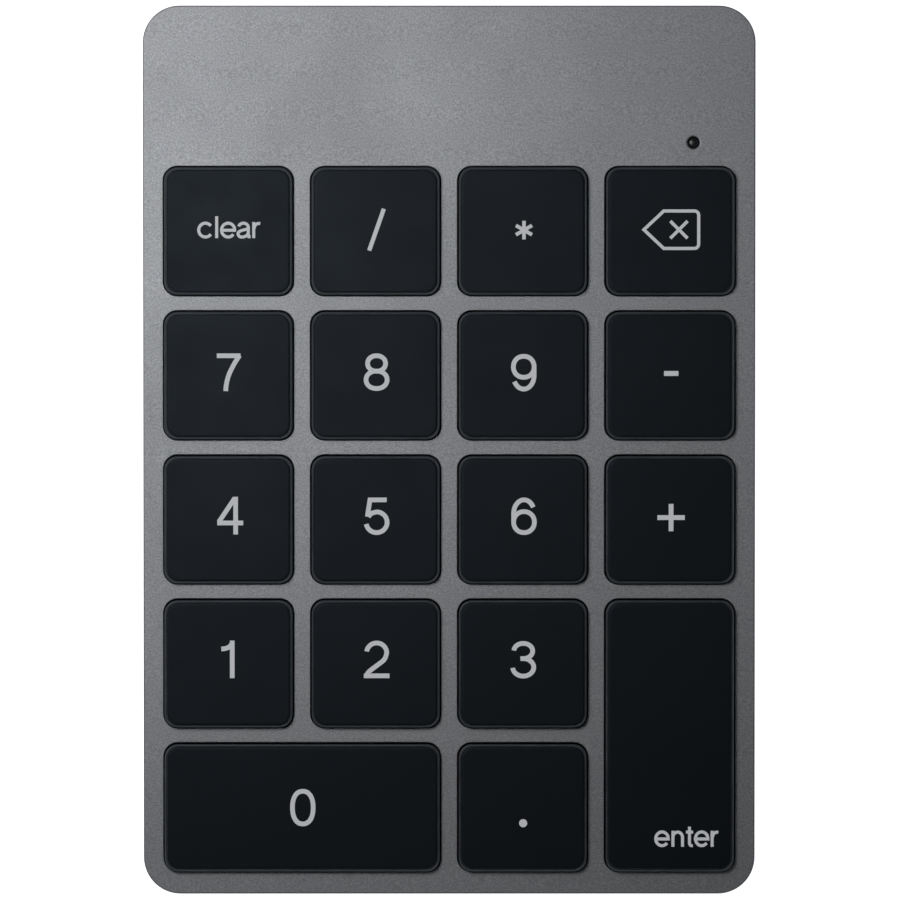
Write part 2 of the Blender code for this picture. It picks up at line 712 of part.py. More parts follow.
def build_case_shell(parts, helpers, material):
    """The wedge-shaped case, open below, with its deck parallel inside and out."""
    x, y = BODY_WIDTH / 2, BODY_LENGTH / 2
    bm = bmesh.new()
    add_box(bm, (-x, -y, UNDERSIDE), (x, y, TALL), CORNER_RADIUS, 6)
    rim = cut_by_deck(bm, 0)
    bmesh.ops.bevel(bm, geom=rim, offset=EDGE_CHAMFER, segments=1, profile=0.5, affect="EDGES")
    shell = part_from("top_case", bm, parts, material)

    bm = bmesh.new()
    inner = CORNER_RADIUS - WALL
    add_box(bm, (-x + WALL, -y + WALL, -REACH), (x - WALL, y - WALL, TALL), inner, 4)
    cut_by_deck(bm, DECK_THICKNESS)
    cavity = helper_from("case_cavity", bm, helpers)
    use_boolean(shell, cavity, "DIFFERENCE")
    return shell


def join_bosses(shell, helpers):
    """Screw bosses. The front two have a shoulder that presses on the plate and a neck through it."""
    bm = bmesh.new()
    for name, centre in SCREWS.items():
        low = BOSS_SHOULDER if name.startswith("front") else BOSS_BOTTOM
        high = DECK_CENTRE_HEIGHT + math.tan(DECK_TILT) * centre[1] - DECK_THICKNESS / 2
        add_cylinder(bm, centre, BOSS_RADIUS, low, high, 12)
    bosses = helper_from("case_bosses", bm, helpers)
    use_boolean(shell, bosses, "UNION")
    bm = bmesh.new()
    for name in ("front_left", "front_right"):
        add_cylinder(bm, SCREWS[name], BOSS_NECK_RADIUS, BOSS_BOTTOM, BOSS_SHOULDER + 0.5 * MM, 12)
    necks = helper_from("case_boss_necks", bm, helpers)
    use_boolean(shell, necks, "UNION")


def join_studs(shell, helpers, deck):
    """Studs under the deck, each riveted over below the plate that it holds up."""
    profile = [
        (0, -DECK_THICKNESS / 2),
        (STUD_RADIUS, -DECK_THICKNESS / 2),
        (STUD_RADIUS, PLATE_TOP + 0.05 * MM),
        (STUD_NECK_RADIUS, PLATE_TOP + 0.05 * MM),
        (STUD_NECK_RADIUS, PLATE_BOTTOM - 0.06 * MM),
        (STUD_HEAD_RADIUS, PLATE_BOTTOM - 0.06 * MM),
        (STUD_HEAD_RADIUS * 0.6, STUD_HEAD_BOTTOM),
        (0, STUD_HEAD_BOTTOM),
    ]
    stud = turned_mesh("stud", profile, 8)
    bm = bmesh.new()
    for centre in STUDS:
        add_mesh(bm, stud, at(*centre))
    studs = helper_from("case_studs", bm, helpers, deck)
    use_boolean(shell, studs, "UNION")


def cut_wells(shell, helpers, deck):
    """One opening in the deck for each key, and the small round one for the lamp."""
    bm = bmesh.new()
    for key in KEYS.values():
        cx, cy = key_centre(*key)
        width, length = well_size(*key)
        half_x, half_y = width / 2, length / 2
        add_box(bm, (cx - half_x, cy - half_y, -REACH), (cx + half_x, cy + half_y, REACH), WELL_RADIUS, 3)
    add_cylinder(bm, (LED_X, LED_Y), LED_HOLE_RADIUS, -REACH, REACH, 16)
    wells = helper_from("key_wells", bm, helpers, deck)
    use_boolean(shell, wells, "DIFFERENCE")


def cut_small_holes(shell, helpers):
    """The screws' pilot holes, and the rear wall's openings for the port and the power switch."""
    bm = bmesh.new()
    for centre in SCREWS.values():
        add_cylinder(bm, centre, BOSS_HOLE_RADIUS, BOSS_BOTTOM - REACH, BOSS_HOLE_TOP, 12)
    port_x, port_z = PORT_WIDTH / 2 + 0.25 * MM, PORT_HEIGHT / 2 + 0.25 * MM
    rear = BODY_LENGTH / 2
    add_box(
        bm,
        (PORT_X - port_x, rear - REACH, PORT_Z - port_z),
        (PORT_X + port_x, rear + REACH, PORT_Z + port_z),
        port_z * 0.95,
        4,
        bevel_axis=1,
    )
    slot_x = (KNOB[0] + SWITCH_TRAVEL) / 2 + 0.2 * MM
    slot_z = KNOB[1] / 2 + 0.2 * MM
    add_box(
        bm,
        (SWITCH_X - slot_x, rear - REACH, PORT_Z - slot_z),
        (SWITCH_X + slot_x, rear + REACH, PORT_Z + slot_z),
        0.4 * MM,
        2,
        bevel_axis=1,
    )
    holes = helper_from("case_holes", bm, helpers)
    use_boolean(shell, holes, "DIFFERENCE")


def build_top_case(parts, helpers, deck, material):
    shell = build_case_shell(parts, helpers, material)
    join_bosses(shell, helpers)
    join_studs(shell, helpers, deck)
    cut_wells(shell, helpers, deck)
    cut_small_holes(shell, helpers)


def build_bottom_cover(parts, helpers, material):
    x = BODY_WIDTH / 2 - WALL - COVER_GAP
    y = BODY_LENGTH / 2 - WALL - COVER_GAP
    radius = CORNER_RADIUS - WALL - COVER_GAP
    bm = bmesh.new()
    add_box(bm, (-x, -y, UNDERSIDE), (x, y, RIM_TOP), radius, 4)
    cover = part_from("bottom_cover", bm, parts, material)

    bm = bmesh.new()
    add_box(bm, (-x + RIM, -y + RIM, COVER_TOP), (x - RIM, y - RIM, RIM_TOP + REACH), radius - RIM, 3)
    tray = helper_from("cover_tray", bm, helpers)
    use_boolean(cover, tray, "DIFFERENCE")

    bm = bmesh.new()
    embedded = COVER_TOP - 0.4 * MM
    for centre in SCREWS.values():
        add_cylinder(bm, centre, COVER_BOSS_RADIUS, embedded, COVER_BOSS_TOP, 12)
    for centre in POSTS:
        add_cylinder(bm, centre, POST_RADIUS, embedded, BOARD_BOTTOM - 0.1 * MM, 10)
    bosses = helper_from("cover_bosses", bm, helpers)
    use_boolean(cover, bosses, "UNION")

    bm = bmesh.new()
    for centre in SCREWS.values():
        add_cylinder(bm, centre, SCREW_HEAD_RADIUS + 0.25 * MM, -REACH, COVER_TOP, 16)
    for centre in FEET.values():
        add_cylinder(bm, centre, FOOT_RADIUS + 0.15 * MM, -REACH, FOOT_RECESS_TOP, 20)
    add_cylinder(bm, BUTTON_AT, BUTTON_RADIUS + 0.25 * MM, -REACH, TALL, 20)
    recesses = helper_from("cover_recesses", bm, helpers)
    use_boolean(cover, recesses, "DIFFERENCE")
    bm = bmesh.new()
    for centre in SCREWS.values():
        add_cylinder(bm, centre, SCREW_SHANK_RADIUS + 0.15 * MM, 0, TALL, 12)
    shanks = helper_from("cover_screw_holes", bm, helpers)
    use_boolean(cover, shanks, "DIFFERENCE")


def build_feet(parts, material):
    bm = bmesh.new()
    add_cylinder(bm, (0, 0), FOOT_RADIUS, 0, FOOT_TOP, 20)
    edge = [e for e in bm.edges if all(v.co.z < 1e-6 for v in e.verts)]
    bmesh.ops.bevel(bm, geom=edge, offset=FOOT_CHAMFER, segments=1, profile=0.5, affect="EDGES")
    mesh = to_mesh(bm, "foot")
    for name, centre in FEET.items():
        place(make_object("foot_" + name, mesh, material), parts, (*centre, 0))


def build_screws(parts, helpers, material):
    """Four cross-head screws that hold the bottom cover to the top case."""
    bm = bmesh.new()
    slot = 0.32 * MM
    arm = SCREW_HEAD_RADIUS * 0.62
    depth = SCREW_HEAD_BOTTOM + 0.5 * MM
    add_box(bm, (-arm, -slot / 2, 0), (arm, slot / 2, depth))
    cross_x = helper_from("screw_slot_x", bm, helpers)
    bm = bmesh.new()
    add_box(bm, (-slot / 2, -arm, 0), (slot / 2, arm, depth * 0.995))
    cross_y = helper_from("screw_slot_y", bm, helpers)
    profile = [
        (0, SCREW_TIP),
        (SCREW_SHANK_RADIUS * 0.6, SCREW_TIP),
        (SCREW_SHANK_RADIUS, SCREW_TIP - 0.4 * MM),
        (SCREW_SHANK_RADIUS, SCREW_HEAD_TOP),
        (SCREW_HEAD_RADIUS, SCREW_HEAD_TOP),
        (SCREW_HEAD_RADIUS, SCREW_HEAD_BOTTOM + 0.25 * MM),
        (SCREW_HEAD_RADIUS * 0.75, SCREW_HEAD_BOTTOM),
        (0, SCREW_HEAD_BOTTOM),
    ]
    body = make_object("screw", turned_mesh("screw", profile, 12))
    bpy.context.scene.collection.objects.link(body)
    use_boolean(body, cross_x, "DIFFERENCE")
    use_boolean(body, cross_y, "DIFFERENCE")
    mesh = baked_mesh(body)
    for used in (cross_x, cross_y):
        bpy.data.objects.remove(used)
    for name, centre in SCREWS.items():
        place(make_object("screw_" + name, mesh, material), parts, (*centre, 0))


# ---------------------------------------------------------------- electronics


def build_main_board(parts, helpers, material):
    """The board, notched round the port and the power switch, with its soldered parts."""
    port = PORT_WIDTH / 2 + 0.2 * MM
    port_front = PORT_MOUTH - PORT_DEPTH - 0.2 * MM
    switch = SWITCH_BODY[0] / 2 + 0.2 * MM
    switch_front = SWITCH_BODY_REAR - SWITCH_BODY[1] - 0.2 * MM
    (x0, x1), (y0, y1) = BOARD_X, BOARD_Y
    outline = [
        (x0, y0),
        (x1, y0),
        (x1, y1),
        (SWITCH_X + switch, y1),
        (SWITCH_X + switch, switch_front),
        (SWITCH_X - switch, switch_front),
        (SWITCH_X - switch, y1),
        (PORT_X + port, y1),
        (PORT_X + port, port_front),
        (PORT_X - port, port_front),
        (PORT_X - port, y1),
        (x0, y1),
    ]
    mesh = outline_mesh("main_board", [outline], BOARD_BOTTOM, BOARD_TOP)
    board = place(make_object("main_board", mesh, material), parts)
    sunk = 0.2 * MM
    bm = bmesh.new()
    half = TAIL_HALF_WIDTH + 0.8 * MM
    add_box(
        bm,
        (TAIL_X - half, CONNECTOR_Y[0], BOARD_TOP - sunk),
        (TAIL_X + half, CONNECTOR_Y[1], CONNECTOR_TOP),
    )
    add_box(
        bm,
        (LED_X - LED_HALF, LED_Y - LED_HALF, BOARD_TOP - sunk),
        (LED_X + LED_HALF, LED_Y + LED_HALF, LED_TOP),
    )
    add_box(
        bm,
        (BUTTON_AT[0] - TACT_HALF, BUTTON_AT[1] - TACT_HALF, TACT_BOTTOM),
        (BUTTON_AT[0] + TACT_HALF, BUTTON_AT[1] + TACT_HALF, BOARD_BOTTOM + sunk),
    )
    soldered = helper_from("board_parts", bm, helpers)
    use_boolean(board, soldered, "UNION")
    bm = bmesh.new()
    add_cylinder(bm, BUTTON_AT, PLUNGER_RADIUS, PLUNGER_BOTTOM, TACT_BOTTOM + sunk, 10)
    plunger = helper_from("button_plunger", bm, helpers)
    use_boolean(board, plunger, "UNION")


def build_bluetooth_module(parts, material):
    bm = bmesh.new()
    add_box(bm, MODULE_LOW, MODULE_HIGH, 0.4 * MM, 2)
    part_from("bluetooth_module", bm, parts, material)


def build_usb_socket(parts, helpers, material):
    """The charging port: a rounded metal shell open to the rear, with the contact tongue inside it."""
    x, z = PORT_WIDTH / 2, PORT_HEIGHT / 2
    front = PORT_MOUTH - PORT_DEPTH
    bm = bmesh.new()
    add_box(bm, (PORT_X - x, front, PORT_Z - z), (PORT_X + x, PORT_MOUTH, PORT_Z + z), z * 0.95, 4, 1)
    socket = part_from("usb_c_socket", bm, parts, material)
    bm = bmesh.new()
    x, z = x - PORT_SHELL, z - PORT_SHELL
    back = front + 0.9 * MM
    add_box(bm, (PORT_X - x, back, PORT_Z - z), (PORT_X + x, PORT_MOUTH + REACH, PORT_Z + z), z * 0.95, 4, 1)
    bore = helper_from("port_bore", bm, helpers)
    use_boolean(socket, bore, "DIFFERENCE")
    bm = bmesh.new()
    half = 3.3 * MM
    tongue = 0.35 * MM
    add_box(
        bm,
        (PORT_X - half, front + 0.5 * MM, PORT_Z - tongue),
        (PORT_X + half, PORT_MOUTH - 0.9 * MM, PORT_Z + tongue),
    )
    blade = helper_from("port_tongue", bm, helpers)
    use_boolean(socket, blade, "UNION")


def build_power_switch(parts, helpers, body_material, knob_material):
    width, depth, height = SWITCH_BODY
    rear = SWITCH_BODY_REAR
    bm = bmesh.new()
    add_box(
        bm,
        (SWITCH_X - width / 2, rear - depth, PORT_Z - height / 2),
        (SWITCH_X + width / 2, rear, PORT_Z + height / 2),
    )
    body = part_from("power_switch_body", bm, parts, body_material)
    stem = (1.4 * MM, 1.2 * MM)
    track_x = (stem[0] + SWITCH_TRAVEL) / 2 + 0.15 * MM
    track_z = stem[1] / 2 + 0.12 * MM
    bm = bmesh.new()
    add_box(
        bm,
        (SWITCH_X - track_x, rear - 2.2 * MM, PORT_Z - track_z),
        (SWITCH_X + track_x, rear + REACH, PORT_Z + track_z),
    )
    track = helper_from("switch_track", bm, helpers)
    use_boolean(body, track, "DIFFERENCE")

    bm = bmesh.new()
    face = BODY_LENGTH / 2 - 0.1 * MM
    shoulder = rear + 0.15 * MM
    add_box(bm, (-KNOB[0] / 2, shoulder, -KNOB[1] / 2), (KNOB[0] / 2, face, KNOB[1] / 2), 0.3 * MM, 2, 1)
    at_off = (SWITCH_X - SWITCH_TRAVEL / 2, 0, PORT_Z)
    knob = make_object("power_switch_slider", to_mesh(bm, "power_switch_slider"), knob_material)
    place(knob, parts, at_off)
    bm = bmesh.new()
    stem_x, stem_z = stem[0] / 2, stem[1] / 2
    add_box(bm, (-stem_x, rear - 2.0 * MM, -stem_z), (stem_x, shoulder + 0.5 * MM, stem_z))
    stem_obj = helper_from("switch_stem", bm, helpers, None, at_off)
    use_boolean(knob, stem_obj, "UNION")
    bm = bmesh.new()
    for k in (-1, 0, 1):
        groove = k * 0.7 * MM
        add_box(
            bm,
            (groove - 0.13 * MM, face - 0.2 * MM, -REACH),
            (groove + 0.13 * MM, face + REACH, REACH),
        )
    grooves = helper_from("knob_grooves", bm, helpers, None, at_off)
    use_boolean(knob, grooves, "DIFFERENCE")


def build_pairing_button(parts, material):
    """A round button in the bottom cover, kept in by its flange, that lifts onto the board's switch."""
    profile = [
        (0, 2.42 * MM),
        (3.0 * MM, 2.42 * MM),
        (3.0 * MM, 2.02 * MM),
        (BUTTON_RADIUS, 2.02 * MM),
        (BUTTON_RADIUS, 1.15 * MM),
        (BUTTON_RADIUS - 0.2 * MM, 0.95 * MM),
        (0, 0.95 * MM),
    ]
    mesh = turned_mesh("pairing_button", profile, 20)
    round_shading(mesh)
    place(make_object("pairing_button", mesh, material), parts, (*BUTTON_AT, 0))


def build_light_pipe(parts, deck, material):
    """A clear rod from the board's lamp up to the small hole in the deck, domed at the top."""
    profile = [
        (0, -0.22 * MM),
        (0.4 * MM, -0.3 * MM),
        (0.7 * MM, -0.6 * MM),
        (0.7 * MM, -1.45 * MM),
        (1.25 * MM, -1.45 * MM),
        (1.25 * MM, -2.0 * MM),
        (0.9 * MM, -3.3 * MM),
        (0, -3.3 * MM),
    ]
    mesh = turned_mesh("led_light_pipe", profile, 14)
    round_shading(mesh)
    place(make_object("led_light_pipe", mesh, material), parts, (LED_X, LED_Y, 0), deck)


def build_battery(parts, helpers, cell_material, lead_material):
    bm = bmesh.new()
    add_box(bm, BATTERY_LOW, BATTERY_HIGH, 0.9 * MM, 3, 1)
    part_from("battery_cell", bm, parts, cell_material)
    bm = bmesh.new()
    add_box(bm, PLUG_LOW, PLUG_HIGH)
    plug = part_from("battery_lead", bm, parts, lead_material)
    route = [(-5.4, 46.0), (-6.9, 46.0), (-7.9, 46.6), (-8.3, 47.8), (-8.2, 49.4), (-8.2, 51.0), (-8.7, 52.2)]
    for k, offset in enumerate((-LEAD_SPREAD, LEAD_SPREAD)):
        points = [(x * MM, y * MM + offset, LEAD_Z) for x, y in route]
        wire = thin_tube("lead_wire", points, LEAD_RADIUS)
        bpy.context.scene.collection.objects.link(wire)
        bm = bmesh.new()
        bm.from_mesh(baked_mesh(wire))
        bmesh.ops.remove_doubles(bm, verts=bm.verts, dist=1e-6)
        core = helper_from(f"lead_core_{k}", bm, helpers)
        use_boolean(plug, core, "UNION")


# ---------------------------------------------------------------- assembly


def main():
    clear_scene()
    parts = new_collection("numeric_keypad")
    helpers = new_collection("cutters")
    deck = bpy.data.objects.new("deck_frame", None)
    place(deck, parts, (0, 0, DECK_CENTRE_HEIGHT))
    deck.rotation_euler = (DECK_TILT, 0, 0)

    aluminium = plain_material("anodised_aluminium", (0.25, 0.255, 0.27), 0.42, 0.9)
    cover = plain_material("cover_plastic", (0.035, 0.036, 0.04), 0.5)
    steel = plain_material("steel", (0.55, 0.55, 0.56), 0.35, 1.0)
    rubber = plain_material("foot_rubber", (0.02, 0.02, 0.022), 0.85)
    silicone = plain_material("dome_silicone", (0.03, 0.03, 0.032), 0.6)
    film = plain_material("membrane_film", (0.35, 0.37, 0.38), 0.3)
    board = plain_material("board_laminate", (0.01, 0.06, 0.035), 0.45)
    clear = plain_material("light_pipe_acrylic", (0.75, 0.78, 0.8), 0.1)
    foil = plain_material("battery_foil", (0.6, 0.61, 0.63), 0.35, 0.8)
    black = plain_material("black_plastic", (0.015, 0.015, 0.017), 0.45)
    insulation = plain_material("lead_insulation", (0.35, 0.02, 0.02), 0.5)
    key_materials = {
        "keycap": plain_material("keycap_plastic", (0.012, 0.014, 0.017), 0.42),
        "scissor": plain_material("scissor_acetal", (0.05, 0.05, 0.052), 0.45),
        "steel": steel,
    }

    build_top_case(parts, helpers, deck, aluminium)
    build_bottom_cover(parts, helpers, cover)
    build_keys(parts, helpers, deck, key_materials)
    build_support_plate(parts, helpers, deck, steel)
    slots = build_sheet_slots(helpers, deck)
    build_membrane(parts, helpers, deck, slots, film)
    build_dome_sheet(parts, helpers, deck, slots, silicone)
    build_feet(parts, rubber)
    build_screws(parts, helpers, steel)
    build_main_board(parts, helpers, board)
    build_bluetooth_module(parts, steel)
    build_usb_socket(parts, helpers, steel)
    build_power_switch(parts, helpers, black, black)
    build_pairing_button(parts, cover)
    build_light_pipe(parts, deck, clear)
    build_battery(parts, helpers, foil, insulation)


main()
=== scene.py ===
"""The numeric keypad as it looks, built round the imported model."""

import json
import math

import bmesh
import bpy
from mathutils import Matrix, Vector, geometry


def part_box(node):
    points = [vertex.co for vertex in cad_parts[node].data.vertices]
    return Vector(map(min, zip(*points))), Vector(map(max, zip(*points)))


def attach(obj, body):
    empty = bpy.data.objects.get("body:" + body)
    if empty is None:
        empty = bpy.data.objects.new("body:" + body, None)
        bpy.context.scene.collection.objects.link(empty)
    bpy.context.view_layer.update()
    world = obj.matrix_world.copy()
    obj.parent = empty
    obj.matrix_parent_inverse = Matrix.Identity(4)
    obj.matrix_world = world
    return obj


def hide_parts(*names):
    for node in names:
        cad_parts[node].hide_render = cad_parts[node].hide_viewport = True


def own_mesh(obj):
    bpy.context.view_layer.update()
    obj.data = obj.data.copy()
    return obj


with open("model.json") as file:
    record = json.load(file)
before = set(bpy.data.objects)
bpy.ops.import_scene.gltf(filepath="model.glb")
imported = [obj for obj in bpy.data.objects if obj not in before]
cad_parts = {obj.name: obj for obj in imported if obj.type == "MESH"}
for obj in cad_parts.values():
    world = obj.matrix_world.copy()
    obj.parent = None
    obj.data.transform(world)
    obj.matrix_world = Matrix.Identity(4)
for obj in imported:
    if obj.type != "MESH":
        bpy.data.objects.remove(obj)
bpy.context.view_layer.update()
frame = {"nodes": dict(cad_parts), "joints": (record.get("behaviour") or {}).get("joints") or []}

MM = 0.001
nodes = frame["nodes"]

# The deck's own frame has its origin on the deck plane over the case's centre, and Z along the deck's normal.
press = next(j for j in frame["joints"] if j["name"] == "press_5")
TILT = math.atan2(-press["axis"][1], press["axis"][2])
CASE_LOW, CASE_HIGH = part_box("top_case")
HALF_WIDTH = CASE_HIGH.x
HALF_LENGTH = CASE_HIGH.y
FRONT_HEIGHT = 5.6 * MM
DECK_HEIGHT = FRONT_HEIGHT + HALF_LENGTH * math.tan(TILT)
DECK = Matrix.Translation((0, 0, DECK_HEIGHT)) @ Matrix.Rotation(TILT, 4, "X")
DECK_NORMAL = DECK.to_3x3() @ Vector((0, 0, 1))
DECK_THICKNESS = 1.3 * MM
WALL = 1.3 * MM
CASE_RADIUS = 4.8 * MM

PITCH_X, PITCH_Y = 19.05 * MM, 18.68 * MM
WELL_X, WELL_Y, WELL_RADIUS = 16.9 * MM, 16.8 * MM, 1.85 * MM
TOP_ROW_Y = 28.4 * MM
CAP_TOP, CAP_CEILING, CAP_BOTTOM = 1.6 * MM, 0.7 * MM, -0.6 * MM

# Each key as name: (column, row, columns wide, rows deep)
KEYS = {
    "clear": (0, 0, 1, 1), "divide": (1, 0, 1, 1), "multiply": (2, 0, 1, 1), "backspace": (3, 0, 1, 1),
    "7": (0, 1, 1, 1), "8": (1, 1, 1, 1), "9": (2, 1, 1, 1), "minus": (3, 1, 1, 1),
    "4": (0, 2, 1, 1), "5": (1, 2, 1, 1), "6": (2, 2, 1, 1), "plus": (3, 2, 1, 1),
    "1": (0, 3, 1, 1), "2": (1, 3, 1, 1), "3": (2, 3, 1, 1), "enter": (3, 3, 1, 2),
    "0": (0, 4, 2, 1), "decimal": (2, 4, 1, 1),
}


def key_centre(column, row, wide, deep):
    return Vector(((column + (wide - 1) / 2 - 1.5) * PITCH_X, TOP_ROW_Y - (row + (deep - 1) / 2) * PITCH_Y))


def well_size(column, row, wide, deep):
    return WELL_X + (wide - 1) * PITCH_X, WELL_Y + (deep - 1) * PITCH_Y


def key_turn(column, row, wide, deep):
    """A key deeper than wide has its scissor turned by a quarter."""
    return Matrix.Rotation(math.pi / 2 if deep > wide else 0.0, 4, "Z")


# ---------------------------------------------------------------- materials


def material(name, **values):
    """A material with its constants set on the shader's own sockets."""
    mat = bpy.data.materials.new(name)
    mat.use_nodes = True
    shader = mat.node_tree.nodes["Principled BSDF"]
    for socket, value in values.items():
        shader.inputs[socket.replace("_", " ")].default_value = value
    return mat


def add_node(mat, kind, **settings):
    node = mat.node_tree.nodes.new(kind)
    for key, value in settings.items():
        if hasattr(node, key):
            setattr(node, key, value)
        else:
            node.inputs[key.replace("_", " ")].default_value = value
    return node


def link(mat, source, output, target, socket):
    mat.node_tree.links.new(source.outputs[output], target.inputs[socket])


def noise(mat, scale, detail=3.0, rough=0.55, stretch=(1, 1, 1)):
    """3D noise in the object's own metres, stretched along its axes."""
    where = add_node(mat, "ShaderNodeTexCoord")
    mapping = add_node(mat, "ShaderNodeMapping")
    mapping.inputs["Scale"].default_value = stretch
    link(mat, where, "Object", mapping, "Vector")
    tex = add_node(mat, "ShaderNodeTexNoise", Scale=scale, Detail=detail, Roughness=rough)
    link(mat, mapping, "Vector", tex, "Vector")
    return tex


def shade(mat):
    return mat.node_tree.nodes["Principled BSDF"]


def vary_colour(mat, source, stops):
    """Two (place, colour) stops along a texture's factor, as the base colour."""
    node = add_node(mat, "ShaderNodeValToRGB")
    link(mat, source, "Fac", node, "Fac")
    for element, (place, colour) in zip(node.color_ramp.elements, stops):
        element.position = place
        element.color = (*colour, 1)
    link(mat, node, "Color", shade(mat), "Base Color")


def vary_roughness(mat, source, low, high):
    node = add_node(mat, "ShaderNodeMapRange")
    node.inputs["From Min"].default_value = 0.3
    node.inputs["From Max"].default_value = 0.7
    node.inputs["To Min"].default_value = low
    node.inputs["To Max"].default_value = high
    link(mat, source, "Fac", node, "Value")
    link(mat, node, "Result", shade(mat), "Roughness")


def bump(mat, source, depth, strength):
    """Relief from a texture's factor, with its depth in metres."""
    node = add_node(mat, "ShaderNodeBump", Strength=strength, Distance=depth)
    link(mat, source, "Fac", node, "Height")
    link(mat, node, "Normal", shade(mat), "Normal")


def aluminium():
    """Bead-blasted, clear-anodised aluminium: a fine even grain with faint broad clouding."""
    mat = material("anodised_aluminium", Metallic=1.0, Roughness=0.52)
    grain = noise(mat, 5200, 2.0, 0.6)
    cloud = noise(mat, 60, 2.0)
    vary_colour(mat, grain, [(0.34, (0.24, 0.248, 0.261)), (0.66, (0.385, 0.395, 0.412))])
    vary_roughness(mat, cloud, 0.50, 0.54)
    bump(mat, grain, 0.000012, 0.55)
    return mat


def bright_edge():
    """The machined rims, turned after blasting, smoother than the deck."""
    mat = material("machined_rim", Metallic=1.0, Roughness=0.4)
    lines = noise(mat, 3000, 2.0, 0.5, (1, 1, 6))
    vary_colour(mat, lines, [(0.3, (0.24, 0.248, 0.262)), (0.7, (0.32, 0.328, 0.342))])
    vary_roughness(mat, lines, 0.36, 0.44)
    bump(mat, lines, 0.000006, 0.4)
    return mat


KEY_TINT = (0.72, 0.86, 1.0, 1)  # the cool cast of the black plastic's gloss


def key_plastic():
    """Black keycap plastic with the fine spark-eroded texture of its mould, and finger-polished patches."""
    mat = material("keycap_black", Roughness=0.50, Specular_IOR_Level=0.23, Specular_Tint=KEY_TINT)
    grain = noise(mat, 7000, 3.0, 0.6)
    patch_noise = noise(mat, 140, 3.0)
    vary_colour(mat, grain, [(0.3, (0.0016, 0.0030, 0.0044)), (0.7, (0.0030, 0.0046, 0.0064))])
    vary_roughness(mat, patch_noise, 0.46, 0.52)
    bump(mat, grain, 0.00001, 0.5)
    return mat


def key_edge_painted_highlight():
    """The same plastic along the cap's bead, painted paler in patches: a painted highlight for the light that the
    bead catches.
    """
    mat = material("keycap_edge_painted_highlight", Roughness=0.38, Specular_IOR_Level=0.3, Specular_Tint=KEY_TINT)
    patch_noise = noise(mat, 420, 4.0, 0.65)
    # the paler colour is a painted highlight, the bead's lit edge painted in
    vary_colour(mat, patch_noise, [(0.3, (0.042, 0.047, 0.053)), (0.7, (0.070, 0.078, 0.087))])
    vary_roughness(mat, patch_noise, 0.30, 0.42)
    bump(mat, patch_noise, 0.000008, 0.3)
    return mat


def legend_ink_painted_glow():
    # grey printed ink with a faint emission: the emission is a painted glow, since the legends are not lit from
    # inside
    mat = material("legend_grey_painted_glow", Roughness=0.55, Emission_Color=(0.95, 0.97, 1.0, 1), Emission_Strength=0.2)
    grain = noise(mat, 8000, 2.0)
    vary_colour(mat, grain, [(0.3, (0.46, 0.47, 0.49)), (0.7, (0.54, 0.55, 0.57))])
    bump(mat, grain, 0.000004, 0.4)
    return mat


def moulded(name, dark, light, rough, scale=5000, depth=0.000012):
    """Moulded plastic or rubber with a fine grain from its tool and slightly uneven gloss."""
    mat = material(name, Roughness=rough)
    grain = noise(mat, scale, 3.0, 0.6)
    cloud = noise(mat, 90, 2.0)
    vary_colour(mat, grain, [(0.3, dark), (0.7, light)])
    vary_roughness(mat, cloud, rough - 0.05, rough + 0.05)
    bump(mat, grain, depth, 0.6)
    return mat


def bare_metal(name, dark, light, rough, stretch=(1, 1, 1), scale=2500):
    """Steel or plated metal with drawn or rolled lines and slightly uneven colour."""
    mat = material(name, Metallic=1.0, Roughness=rough)
    lines = noise(mat, scale, 3.0, 0.6, stretch)
    cloud = noise(mat, 160, 3.0)
    vary_colour(mat, cloud, [(0.3, dark), (0.7, light)])
    vary_roughness(mat, lines, rough - 0.07, rough + 0.07)
    bump(mat, lines, 0.000006, 0.5)
    return mat


def board_green():
    """Solder mask over copper runs: dark laminate with slightly raised, lighter tracks."""
    mat = material("board_mask", Roughness=0.32)
    where = add_node(mat, "ShaderNodeTexCoord")
    tracks = add_node(mat, "ShaderNodeTexBrick", offset=0.5, squash=1.0)
    tracks.inputs["Scale"].default_value = 420
    tracks.inputs["Mortar Size"].default_value = 0.018
    tracks.inputs["Color1"].default_value = (0.004, 0.020, 0.012, 1)
    tracks.inputs["Color2"].default_value = (0.005, 0.026, 0.015, 1)
    tracks.inputs["Mortar"].default_value = (0.02, 0.075, 0.04, 1)
    link(mat, where, "Object", tracks, "Vector")
    link(mat, tracks, "Color", shade(mat), "Base Color")
    bump(mat, tracks, 0.00002, 0.5)
    return mat


def lens_material():
    """Smoked acrylic: nearly black, softly glossy, with faint cloudiness inside."""
    mat = material("lamp_acrylic", Roughness=0.3, IOR=1.49)
    cloud = noise(mat, 2500, 2.0)
    vary_colour(mat, cloud, [(0.3, (0.010, 0.011, 0.012)), (0.7, (0.02, 0.021, 0.023))])
    bump(mat, cloud, 0.000002, 0.3)
    return mat


ALUMINIUM = aluminium()
RIM = bright_edge()
KEY = key_plastic()
# the caps' bead: the same black plastic, painted paler as a painted highlight
KEY_EDGE_PAINTED_HIGHLIGHT = key_edge_painted_highlight()
